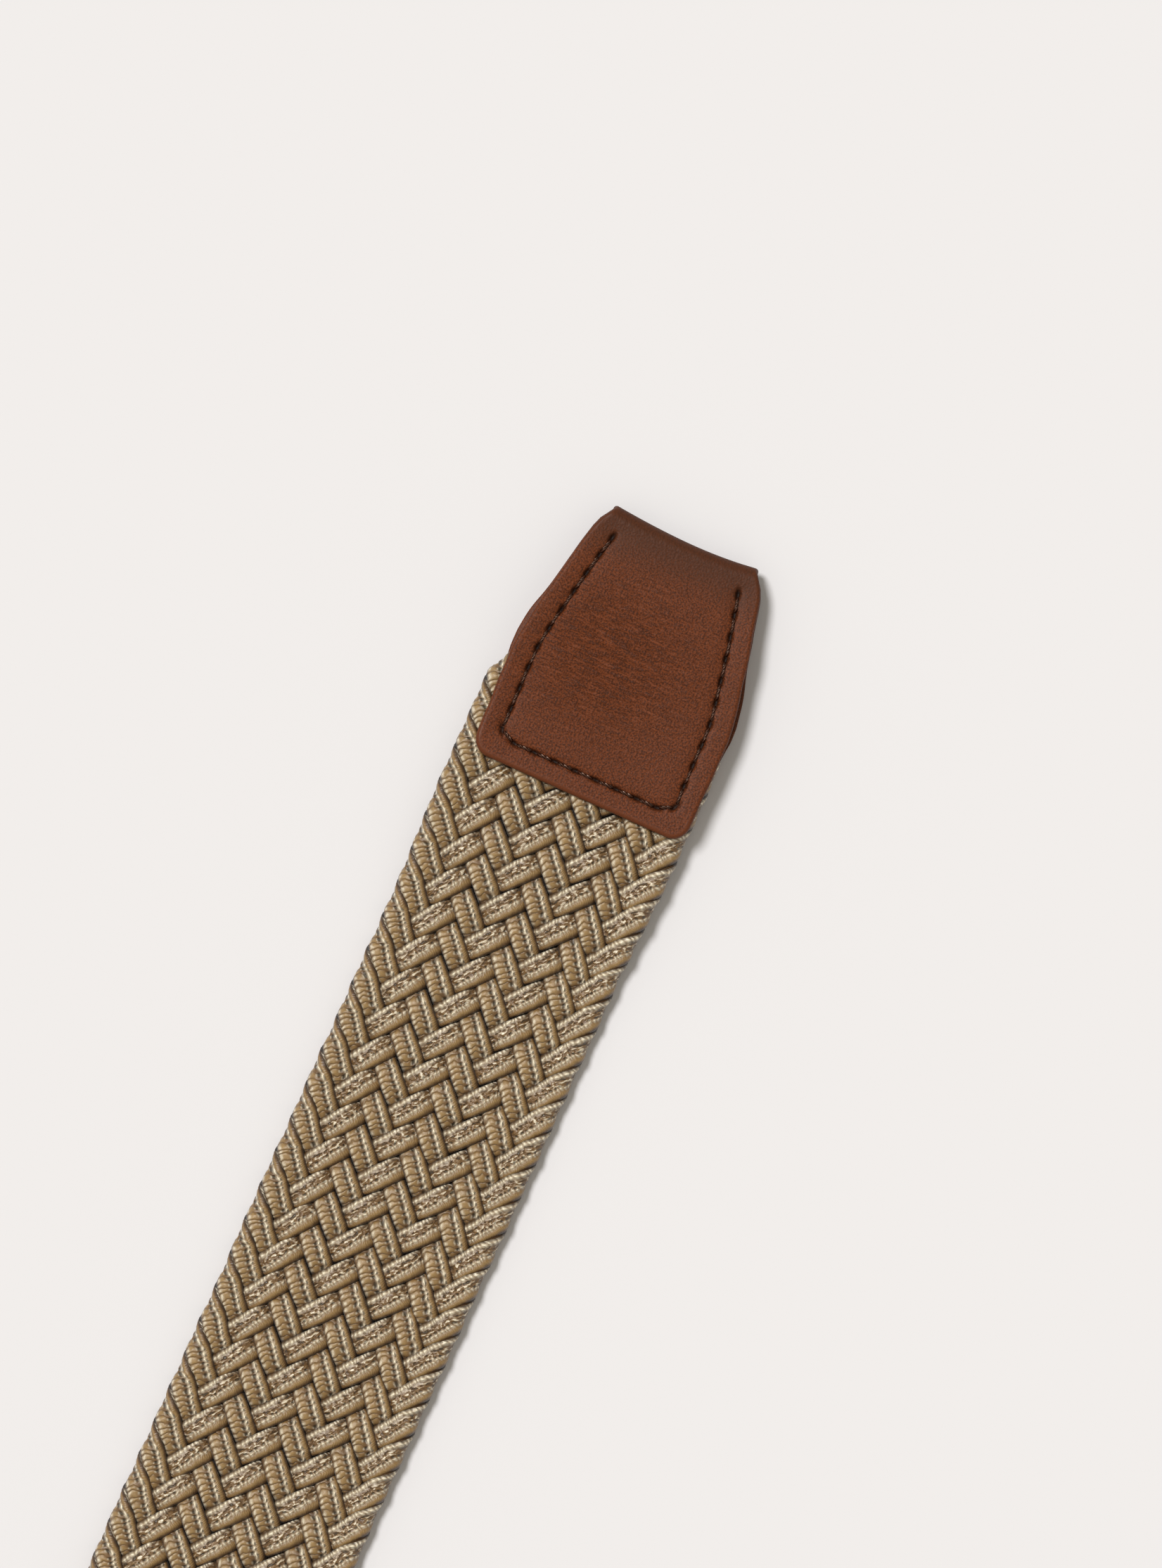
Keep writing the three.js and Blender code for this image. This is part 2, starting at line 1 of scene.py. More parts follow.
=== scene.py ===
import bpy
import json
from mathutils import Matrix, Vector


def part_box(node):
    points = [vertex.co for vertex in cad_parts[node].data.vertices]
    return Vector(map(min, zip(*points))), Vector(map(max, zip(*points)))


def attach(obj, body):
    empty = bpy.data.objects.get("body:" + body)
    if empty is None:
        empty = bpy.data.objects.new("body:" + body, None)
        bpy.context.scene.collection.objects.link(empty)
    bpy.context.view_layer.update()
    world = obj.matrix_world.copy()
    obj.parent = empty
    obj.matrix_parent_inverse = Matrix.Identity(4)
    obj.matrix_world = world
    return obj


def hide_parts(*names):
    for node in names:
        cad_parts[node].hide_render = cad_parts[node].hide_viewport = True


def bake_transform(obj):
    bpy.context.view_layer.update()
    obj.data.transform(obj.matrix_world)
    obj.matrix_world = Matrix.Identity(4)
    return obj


bl_info = {
    "name": "Braided Stretch Belt",
    "version": (1, 0, 0),
    "blender": (4, 5, 0),
    "location": "View3D > Sidebar > Belt",
    "description": "Builds a braided stretch belt with leather ends around its packed frame",
    "category": "Object",
}

import json
import math

import bmesh
import bpy
import numpy as np
from bpy.props import FloatProperty, FloatVectorProperty, IntProperty, PointerProperty
from mathutils import Matrix, Vector

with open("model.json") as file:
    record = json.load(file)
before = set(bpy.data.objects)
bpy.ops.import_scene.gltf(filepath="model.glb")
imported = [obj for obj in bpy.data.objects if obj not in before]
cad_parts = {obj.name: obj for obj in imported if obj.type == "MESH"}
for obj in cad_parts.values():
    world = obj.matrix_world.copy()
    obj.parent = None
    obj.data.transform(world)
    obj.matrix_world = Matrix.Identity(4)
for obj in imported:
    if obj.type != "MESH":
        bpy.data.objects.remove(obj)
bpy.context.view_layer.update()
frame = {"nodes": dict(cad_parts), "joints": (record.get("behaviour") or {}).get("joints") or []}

MM = 0.001
SEED = 17

# ---- Places that come from the frame ----------------------

JOINTS = {joint["name"]: joint for joint in frame["joints"]}
CURLS = sorted(name for name in JOINTS if name.startswith("strap_curl"))
HINGES = [JOINTS[name]["pos_m"][0] for name in CURLS]
BAR = Vector(JOINTS["buckle_swing"]["pos_m"])


def lowest(node):
    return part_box(node)[0]


def highest(node):
    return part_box(node)[1]


TIP_END = highest("tip_leather").x
TIP_MOUTH = lowest("tip_leather").x
TIP_CENTRE = (lowest("tip_leather").y + highest("tip_leather").y) / 2
TIP_LENGTH = TIP_END - TIP_MOUTH
CHAPE_MOUTH = highest("chape_leather").x
FREE_HEIGHT = highest("strap_link_05").z / 2
TIP_HEIGHT = (lowest("tip_end_binding").z + highest("tip_end_binding").z) / 2
CHAPE_HEIGHT = BAR.z
STRAP_START = lowest("strap_link_01").x
STRAP_STOP = highest("strap_link_15").x
RAMP = 26 * MM
RAMP_GAP = 6 * MM
LEATHER = 1.25 * MM

# ---- Settings ---------------------------------------------


class BeltStrapSettings(bpy.types.PropertyGroup):
    cord_count: IntProperty(name="Cords", description="Cords in the flat braid", default=17, min=5)
    cord_width: FloatProperty(
        name="Cord width",
        description="Width of one flattened cord",
        default=3.72 * MM,
        subtype="DISTANCE",
        unit="LENGTH",
    )
    cord_thickness: FloatProperty(
        name="Cord thickness",
        description="Thickness of one flattened cord",
        default=1.72 * MM,
        subtype="DISTANCE",
        unit="LENGTH",
    )
    repeat: FloatProperty(
        name="Repeat",
        description="Distance along the strap between neighbouring cords",
        default=5.43 * MM,
        subtype="DISTANCE",
        unit="LENGTH",
    )
    bow: FloatProperty(
        name="Row bow",
        description="How far the middle of a row runs ahead of its ends",
        default=1.2 * MM,
        subtype="DISTANCE",
        unit="LENGTH",
    )
    colour: FloatVectorProperty(
        name="Cord colour",
        description="Colour of the yarn in full light",
        subtype="COLOR",
        size=3,
        default=(0.259, 0.160, 0.0580),
        min=0,
        max=1,
    )


class BeltLeatherSettings(bpy.types.PropertyGroup):
    colour: FloatVectorProperty(
        name="Leather colour",
        description="Colour of the leather's face",
        subtype="COLOR",
        size=3,
        default=(0.0960, 0.0235, 0.0060),
        min=0,
        max=1,
    )
    thread_colour: FloatVectorProperty(
        name="Thread colour",
        description="Colour of the sewing thread",
        subtype="COLOR",
        size=3,
        default=(0.024, 0.0085, 0.0050),
        min=0,
        max=1,
    )
    stitch: FloatProperty(
        name="Stitch length",
        description="Distance from one needle hole to the next",
        default=3.3 * MM,
        subtype="DISTANCE",
        unit="LENGTH",
    )
    thread: FloatProperty(
        name="Thread thickness",
        description="Diameter of the sewing thread",
        default=0.50 * MM,
        subtype="DISTANCE",
        unit="LENGTH",
    )


# ---- Shared helpers ---------------------------------------


def smooth(t):
    s = np.clip(t, 0, 1)
    return s * s * (3 - 2 * s)


def unit(vectors):
    return vectors / np.linalg.norm(vectors, axis=-1, keepdims=True)


def new_piece(name, bm, material, shade=True):
    """Turns a bmesh into a named object with one material."""
    mesh = bpy.data.meshes.new(name)
    bm.to_mesh(mesh)
    bm.free()
    piece = bpy.data.objects.new(name, mesh)
    bpy.context.scene.collection.objects.link(piece)
    mesh.materials.append(material)
    if shade:
        mesh.polygons.foreach_set("use_smooth", np.ones(len(mesh.polygons), bool))
    return piece


def points_of(mesh):
    flat = np.empty(3 * len(mesh.vertices), np.float32)
    mesh.vertices.foreach_get("co", flat)
    return flat.reshape(-1, 3).astype(float)


def set_uvs(mesh, layer, places):
    corner_vertex = np.empty(len(mesh.loops), np.int32)
    mesh.loops.foreach_get("vertex_index", corner_vertex)
    mesh.uv_layers[layer].data.foreach_set("uv", places[corner_vertex].astype(np.float32).ravel())


def set_fact(mesh, name, values):
    """Stores one number for each point of the mesh."""
    fact = mesh.attributes.new(name, "FLOAT", "POINT")
    fact.data.foreach_set("value", np.asarray(values, np.float32))


def set_points(mesh, points):
    mesh.vertices.foreach_set("co", np.asarray(points, np.float32).ravel())
    mesh.update()


def strap_height(x):
    """The height of the strap's middle plane: up on the chape, down on the table, up into the tip."""
    chape_ramp = HINGES[0] - RAMP_GAP - RAMP
    tip_ramp = HINGES[-1] + RAMP_GAP
    down = smooth((x - chape_ramp) / RAMP)
    up = smooth((x - tip_ramp) / RAMP)
    return CHAPE_HEIGHT + (FREE_HEIGHT - CHAPE_HEIGHT) * down + (TIP_HEIGHT - FREE_HEIGHT) * up


# ---- Materials --------------------------------------------


class Nodes:
    """A few short calls that make and join shader nodes."""

    def __init__(self, tree):
        self.tree = tree

    def add(self, kind, **values):
        node = self.tree.nodes.new(kind)
        for key, value in values.items():
            setattr(node, key, value)
        return node

    def join(self, source, target):
        self.tree.links.new(source, target)

    def feed(self, socket, value):
        if isinstance(value, bpy.types.NodeSocket):
            self.join(value, socket)
        else:
            socket.default_value = value

    def math(self, operation, a, b=0.0, c=0.0, clamp=False):
        node = self.add("ShaderNodeMath", operation=operation, use_clamp=clamp)
        for socket, value in zip(node.inputs, (a, b, c)):
            self.feed(socket, value)
        return node.outputs[0]

    def times(self, a, b):
        return self.math("MULTIPLY", a, b)

    def times_add(self, a, b, c):
        return self.math("MULTIPLY_ADD", a, b, c)

    def mix(self, factor, a, b, blend="MIX"):
        node = self.add("ShaderNodeMix", data_type="RGBA", blend_type=blend)
        self.feed(node.inputs[0], factor)
        self.feed(node.inputs[6], a)
        self.feed(node.inputs[7], b)
        return node.outputs[2]

    def noise(self, vector, scale, detail=2.0, roughness=0.5, distortion=0.0):
        node = self.add("ShaderNodeTexNoise")
        shape = {"Scale": scale, "Detail": detail, "Roughness": roughness}
        self.fill(node, {"Vector": vector, "Distortion": distortion, **shape})
        return node.outputs["Fac"]

    def map_range(self, value, low, high, to_low=0.0, to_high=1.0, smoother=False):
        node = self.add("ShaderNodeMapRange")
        if smoother:
            node.interpolation_type = "SMOOTHSTEP"
        for index, entry in enumerate((value, low, high, to_low, to_high)):
            self.feed(node.inputs[index], entry)
        return node.outputs[0]

    def bump(self, height, strength, distance):
        node = self.add("ShaderNodeBump")
        self.fill(node, {"Strength": strength, "Distance": distance, "Height": height})
        return node.outputs["Normal"]

    def scaled(self, vector, scale):
        node = self.add("ShaderNodeVectorMath", operation="MULTIPLY")
        self.join(vector, node.inputs[0])
        node.inputs[1].default_value = scale
        return node.outputs[0]

    def fact(self, name):
        return self.add("ShaderNodeAttribute", attribute_name=name).outputs["Fac"]

    def object_place(self):
        return self.add("ShaderNodeTexCoord").outputs["Object"]

    def uv_split(self, layer):
        """A UV layer as a vector, and its two parts."""
        uv = self.add("ShaderNodeUVMap", uv_map=layer).outputs[0]
        split = self.add("ShaderNodeSeparateXYZ")
        self.join(uv, split.inputs[0])
        return uv, split.outputs["X"], split.outputs["Y"]

    def fill(self, node, values):
        """Joins or sets several inputs of a node by their names."""
        for name, value in values.items():
            self.feed(node.inputs[name], value)


def new_material(name):
    material = bpy.data.materials.new(name)
    material.use_nodes = True
    nodes = Nodes(material.node_tree)
    shader = material.node_tree.nodes["Principled BSDF"]
    return material, nodes, shader


def new_group(name, inputs, outputs):
    """An empty node group with its node maker, its inputs to read and its outputs to feed."""
    group = bpy.data.node_groups.new(name, "ShaderNodeTree")
    for way, sockets in (("INPUT", inputs), ("OUTPUT", outputs)):
        for label, kind in sockets.items():
            group.interface.new_socket(label, in_out=way, socket_type="NodeSocket" + kind)
    n = Nodes(group)
    return group, n, n.add("NodeGroupInput").outputs, n.add("NodeGroupOutput").inputs


def rgba(colour, gain=1.0):
    return (colour[0] * gain, colour[1] * gain, colour[2] * gain, 1.0)


LOOP_LENGTH = 0.88  # of one loop of a cord's yarn, in millimetres
SMALL_LOOP_LENGTH = 0.62  # of one in a cord's thin edge


def cord_knit_group():
    """A cord's plaited yarn: its relief, the painted shade in its holes, the painted highlights on its
    loops.

    Along is in millimetres. Across runs 0 to 1 over one face and 1 to 2 back over the other.
    Turn runs -1 to 1 over the length of a float."""
    name = "Cord Knit"
    if name in bpy.data.node_groups:
        return bpy.data.node_groups[name]
    inputs = {"Along": "Float", "Across": "Float", "Turn": "Float"}
    outputs = {"Height": "Float", "Hole": "Float", "Painted Highlight": "Float"}
    group, n, source, sink = new_group(name, inputs, outputs)
    along = source["Along"]
    under = n.math("GREATER_THAN", source["Across"], 1.0)
    place = n.add("ShaderNodeCombineXYZ")
    n.fill(place, {"X": along, "Y": source["Across"]})
    place = place.outputs[0]
    stray = n.noise(n.scaled(place, (1.15, 0.7, 1.0)), 1.0, detail=1.0)
    u = n.math("FRACT", source["Across"])
    u = n.times_add(n.math("SUBTRACT", stray, 0.5), 0.16, u)
    tilt = n.times_add(under, 0.15, -0.10)
    u = n.times_add(source["Turn"], tilt, u)
    slip = n.noise(n.scaled(place, (0.9, 2.6, 1.0)), 1.0, detail=1.0)
    along = n.times_add(slip, 0.9, along)
    loops = n.math("DIVIDE", along, LOOP_LENGTH)
    strands = n.noise(n.scaled(place, (0.85, 5.5, 1.0)), 1.6, detail=1.0)

    def hump(centre, width):
        off = n.math("DIVIDE", n.math("SUBTRACT", u, centre), width)
        return n.math("EXPONENT", n.times(n.times(off, off), -1.0))

    def wave(phase, shift=0.0):
        turn = n.times(n.math("ADD", phase, shift), 2 * math.pi)
        return n.times_add(n.math("COSINE", turn), 0.5, 0.5)

    def peaks(value, low=0.5):
        return n.map_range(value, low, 1.0)

    def total(*parts):
        result = parts[0]
        for part in parts[1:]:
            result = n.math("ADD", result, part)
        return result

    def ripple(phase, gain, base, shift=0.0):
        return n.times_add(wave(phase, shift), gain, base)

    # first face: a smooth rolled edge, an open middle and a thin looped edge
    lean = n.times_add(u, 0.9, loops)
    fine = wave(n.math("DIVIDE", along, 0.29))
    small = n.math("DIVIDE", along, SMALL_LOOP_LENGTH)
    smooth_edge = n.times(hump(0.17, 0.17), n.times_add(fine, 0.10, 0.82))
    woven = n.times_add(wave(lean), 0.13, n.map_range(strands, 0.35, 0.65, 0.25, 0.65))
    filling = n.times(hump(0.60, 0.20), woven)
    thin_edge = n.times(hump(0.91, 0.075), ripple(small, 0.50, 0.55))
    thin_row = n.times(hump(0.385, 0.05), ripple(small, 0.40, 0.30, 0.4))
    height_a = total(smooth_edge, filling, thin_edge, thin_row)
    # holes, sunk in the relief and painted dark as shade by the material
    hole_a = total(
        n.times(hump(0.48, 0.045), n.times(peaks(wave(loops, 0.6), 0.35), 0.85)),
        n.times(hump(0.71, 0.085), n.times(n.map_range(strands, 0.46, 0.34), 0.75)),
    )
    # painted highlights along the looped rows and on silky strands
    painted_highlight_a = total(
        n.times(hump(0.90, 0.085), ripple(small, 0.85, 0.30)),
        n.times(hump(0.37, 0.065), ripple(small, 0.85, 0.15, 0.4)),
        n.times(hump(0.60, 0.14), n.map_range(strands, 0.54, 0.64, 0.0, 0.85)),
    )
    # second face: a smooth rolled edge, an open zigzag and a rib of plump stacked loops
    off = n.math("SUBTRACT", u, 0.72)
    curved = n.times_add(n.times(off, off), 6.0, loops)
    oblique = wave(n.times_add(u, 2.0, n.math("DIVIDE", along, 0.31)))
    rolled = n.times(hump(0.15, 0.15), n.times_add(oblique, 0.10, 0.80))
    plump = n.math("POWER", wave(curved), 0.40)
    stack = n.times(hump(0.72, 0.24), n.times_add(plump, 0.34, 0.64))
    zigzag = n.times(hump(0.31, 0.05), ripple(loops, 0.45, 0.20, 0.3))
    height_b = total(rolled, stack, zigzag)
    # holes of the second face, sunk in the relief and painted dark as shade by the material
    hole_b = total(
        n.times(hump(0.43, 0.07), peaks(wave(loops, 0.05), 0.15)),
        n.times(hump(0.245, 0.03), n.times(peaks(wave(loops, 0.55), 0.3), 0.7)),
        n.times(hump(0.74, 0.20), n.times(peaks(wave(curved, 0.5), 0.93), 0.25)),
    )
    # painted highlights on the zigzag and on the plump loops
    painted_highlight_b = total(
        n.times(hump(0.31, 0.065), ripple(loops, 0.8, 0.30, 0.3)),
        n.times(hump(0.52, 0.04), n.times(peaks(wave(loops, 0.1), 0.4), 0.6)),
        n.times(hump(0.88, 0.075), ripple(curved, 0.85, 0.05, -0.08)),
    )
    pairs = ((height_a, height_b, "Height"), (hole_a, hole_b, "Hole"), (painted_highlight_a, painted_highlight_b, "Painted Highlight"))
    for first, second, output in pairs:
        change = n.math("SUBTRACT", second, first)
        n.join(n.times_add(change, under, first), sink[output])
    return group


def cord_material():
    settings = bpy.context.scene.belt_strap
    material, n, shader = new_material("cord_yarn")
    uv, run, across = n.uv_split("run")
    depth = n.fact("depth")
    place = n.object_place()
    drift = n.noise(n.scaled(uv, (0.55, 1.0, 1.0)), 1.0, detail=1.0)
    along = n.times_add(drift, 0.9, run)
    knit = n.add("ShaderNodeGroup", node_tree=cord_knit_group())
    n.fill(knit, {"Along": along, "Across": across, "Turn": n.fact("turn")})
    fibre = n.noise(n.scaled(uv, (1.0, 14.0, 1.0)), 3.2, detail=3.0, roughness=0.7)
    patches = n.noise(place, 700.0, detail=2.0)
    colour = settings.colour
    yarn = n.mix(patches, rgba(colour, 0.80), rgba(colour, 1.16))
    # painted shade: darker in the low parts of the knit's relief, with a fibre noise
    tone = n.map_range(knit.outputs["Height"], 0.15, 1.0, 0.32, 1.10)
    tone = n.times(tone, n.map_range(fibre, 0.25, 0.75, 0.84, 1.16))
    # painted shade along both sides of the cord, where it meets its neighbours
    rim = n.math("FRACT", across)
    tone = n.times(tone, n.map_range(rim, 0.02, 0.13, 0.35, 1.0, smoother=True))
    tone = n.times(tone, n.map_range(rim, 0.99, 0.93, 0.45, 1.0, smoother=True))
    # painted shade where the cord dives under its neighbours
    tone = n.times(tone, n.map_range(depth, -0.7, 0.95, 0.20, 1.0, smoother=True))
    yarn = n.mix(1.0, yarn, tone, "MULTIPLY")
    # a warm tint on the painted shade
    yarn = n.mix(1.0, yarn, n.mix(tone, (1.0, 0.66, 0.38, 1.0), (1.0, 1.0, 1.0, 1.0)), "MULTIPLY")
    # the knit's holes painted dark as shade
    yarn = n.mix(n.map_range(knit.outputs["Hole"], 0.1, 0.8), yarn, rgba(colour, 0.13))
    # painted highlights on the loops, kept to the cord's raised parts
    painted_light = n.times(knit.outputs["Painted Highlight"], n.map_range(fibre, 0.35, 0.6, 0.35, 1.0))
    painted_light = n.math("MULTIPLY", painted_light, n.map_range(depth, -0.2, 0.7), clamp=True)
    yarn = n.mix(n.times(painted_light, 0.95), yarn, (0.96, 0.89, 0.71, 1.0))
    height = n.times_add(knit.outputs["Hole"], -0.8, knit.outputs["Height"])
    height = n.times_add(fibre, 0.12, height)
    look = {"Base Color": yarn, "Roughness": n.map_range(painted_light, 0.0, 1.0, 0.42, 0.24)}
    look["Normal"] = n.bump(height, 1.0, 0.30 * MM)
    look["Specular IOR Level"] = 0.7
    look["Sheen Weight"] = 0.10
    look["Sheen Roughness"] = 0.4
    n.fill(shader, look)
    return material


def leather_grain_group():
    """Pores, pebbles and fine creases of smooth leather, as a height and a colour mask that paints
    shade and light along the creases.
    """
    name = "Leather Grain"
    if name in bpy.data.node_groups:
        return bpy.data.node_groups[name]
    inputs = {"Vector": "Vector", "Crease": "Float"}
    group, n, source, sink = new_group(name, inputs, {"Height": "Float", "Tone": "Float"})
    place = source["Vector"]
    pebble = n.add("ShaderNodeTexVoronoi", feature="SMOOTH_F1")
    n.fill(pebble, {"Vector": place, "Scale": 2600.0, "Smoothness": 0.6})
    fine = n.noise(place, 3600.0, detail=2.0, roughness=0.6)
    broad = n.noise(place, 420.0, detail=3.0, roughness=0.55)
    turned = n.add("ShaderNodeMapping")
    slant = (0.0, 0.0, math.radians(24))
    n.fill(turned, {"Vector": place, "Rotation": slant, "Scale": (6.5, 0.9, 1.0)})
    crease = n.noise(turned.outputs[0], 380.0, detail=3.0, roughness=0.62, distortion=0.5)
    crease = n.map_range(crease, 0.35, 0.65, smoother=True)
    crease = n.times(n.math("SUBTRACT", crease, 0.5), source["Crease"])
    height = n.times(pebble.outputs["Distance"], -0.9)
    height = n.times_add(fine, 0.7, height)
    height = n.times_add(broad, 0.35, height)
    height = n.times_add(crease, -3.4, height)
    tone = n.times_add(fine, 0.82, n.times(broad, 0.10))
    # painted shade and light along the creases
    tone = n.times_add(crease, -0.15, tone)
    n.join(height, sink["Height"])
    n.join(tone, sink["Tone"])
    return group


def leather_material():
    """Smooth brown leather. The piece's attributes give its worn rim, its seam, and the painted shade
    of its folds, grooves and needle holes.
    """
    settings = bpy.context.scene.belt_leather
    material, n, shader = new_material("leather_brown")
    uv = n.add("ShaderNodeUVMap", uv_map="hide").outputs[0]
    rim = n.fact("rim")
    fold = n.fact("fold")
    grain = n.add("ShaderNodeGroup", node_tree=leather_grain_group())
    n.fill(grain, {"Vector": uv, "Crease": n.fact("crease")})
    tone = n.map_range(grain.outputs["Tone"], 0.36, 0.56)
    face = n.mix(tone, rgba(settings.colour, 0.50), rgba(settings.colour, 1.50))
    # painted shade where the leather bends away at its folds, and in the keeper's grooves
    face = n.mix(n.times(fold, 0.78), face, rgba((0.052, 0.0165, 0.0060)))
    face = n.mix(n.times(rim, 0.75), face, rgba((0.112, 0.031, 0.0110)))
    # needle holes painted near black as shade
    face = n.mix(n.fact("pit"), face, rgba((0.006, 0.002, 0.001)))
    keep = n.map_range(rim, 0.0, 1.0, 1.0, 0.15)
    relief = n.times(grain.outputs["Height"], keep)
    look = {"Base Color": face, "Roughness": n.map_range(rim, 0.0, 1.0, 0.56, 0.42)}
    look["Normal"] = n.bump(relief, 0.5, 0.11 * MM)
    look["Specular IOR Level"] = 0.18
    n.fill(shader, look)
    return material


def thread_material():
    settings = bpy.context.scene.belt_leather
    material, n, shader = new_material("sewing_thread")
    _uv, run, around = n.uv_split("run")
    ply = n.times_add(around, 3.0, n.times(run, 1.5))
    wave = n.math("SINE", n.times(ply, 2 * math.pi))
    # painted highlights and shade along the twisted plies
    painted_light = n.map_range(wave, -1.0, 1.0, 0.35, 1.9)
    look = {"Base Color": n.mix(1.0, rgba(settings.thread_colour), painted_light, "MULTIPLY")}
    look["Normal"] = n.bump(wave, 0.8, 0.06 * MM)
    look["Roughness"] = 0.30
    look["Specular IOR Level"] = 0.55
    look["Specular Tint"] = (1.0, 0.68, 0.54, 1.0)
    n.fill(shader, look)
    return material


# ---- Strap ------------------------------------------------

LAY_WIDTH = 34.5 * MM  # between the lines on which the cords turn back
EDGE_ROLL = 1.0 * MM  # radius of a cord's turn round the strap's edge
LAYER = 1.02 * MM  # from the middle plane to the middle of a cord in a float
EDGE_CROWD = 0.075  # how much closer the cords lie towards the strap's edges
SWAY = 0.30 * MM  # how far the floats swing away from the strap's length
CRISPNESS = 1.25  # how squarely a cord dives under its neighbours
EDGE_TURN = math.pi * EDGE_ROLL / (LAY_WIDTH / 17)  # steps that the turn takes
CORD_RUN = 1.255  # length of cord for each length of strap
CORD_SHIFT = 7.3  # from the knit of one cord to the next, in millimetres
TIP_SPREAD = 0.035  # how much wider the braid lies just before the tip
TIP_PINCH = 0.29  # how much narrower it is inside the tip
CHAPE_PINCH = 0.13  # and inside the chape
BOUND_SQUEEZE = 0.36  # how much thinner it is near its bindings
FINE_PIECES = 3  # at the tip's end, meshed closely


def over_under(steps):
    """How high a cord is in its weave, 1 in a float and -1 under one, and its sideways sway."""
    keys = [-2.5, *np.arange(0.5, 15, 2), *np.arange(17.5, 32, 2), 34.5]
    phase = np.interp(steps, keys, np.arange(len(keys)) * math.pi)
    wave = np.cos(phase)
    return np.tanh(CRISPNESS * wave) / math.tanh(CRISPNESS), np.sin(phase)


def cord_line(cord, steps):
    """Where a cord's middle line runs, the way it faces and its place in the float, -1 to 1.

    A step is from one crossing to the next."""
    settings = bpy.context.scene.belt_strap
    repeat = settings.repeat
    count = settings.cord_count
    pitch = LAY_WIDTH / count
    cycle = 2.0 * count
    local = np.mod(steps + 1, cycle) - 1
    going = local < count - 1
    column = np.where(going, local, 2 * (count - 1) - local)
    y = -(column - (count - 2) / 2) * pitch
    level, lean = over_under(local)
    sign = np.where(going, 1.0, -1.0)
    roll = np.zeros_like(steps)
    outward = np.zeros_like(steps)
    for corner, side in ((count - 1, -1.0), (2 * count - 1, 1.0), (-1, 1.0)):
        away = local - corner
        near = np.abs(away) < 1.5
        turn = np.clip(away / EDGE_TURN + 0.5, 0, 1) * math.pi
        y_start = LAY_WIDTH / 2 - math.pi * EDGE_ROLL / 2
        y_turn = side * (y_start + EDGE_ROLL * np.sin(turn))
        inside = np.abs(away) < EDGE_TURN / 2
        y = np.where(inside, y_turn, y)
        level = np.where(near, np.cos(turn), level)
        roll = np.where(near, turn, roll)
        outward = np.where(near, side, outward)
        if corner == count - 1:
            sign = np.where(near, 1.0, sign)
        else:
            sign = np.where(near, -1.0, sign)
    sway = SWAY * lean * (1 - smooth((np.abs(y) - 12 * MM) / (4 * MM)))
    x = (cord * repeat) + steps * repeat / 2 - sway
    face = np.stack([np.zeros_like(roll), sign * outward * np.sin(roll), sign * np.cos(roll)], -1)
    place = np.where(np.abs(outward) > 0.5, 0.0, lean * np.sign(level))
    return x, y, level * LAYER, face, place


def wander(seed, x, scale, amount):
    """A smooth random wobble along the strap, the same each run."""
    rng = np.random.default_rng(seed)
    waves = rng.uniform(0.6, 1.6, 4) / scale
    phases = rng.uniform(0, 2 * math.pi, 4)
    sizes = rng.uniform(0.5, 1.0, 4) / 4
    return amount * sum(s * np.sin(2 * math.pi * w * x + p) for s, w, p in zip(sizes, waves, phases))


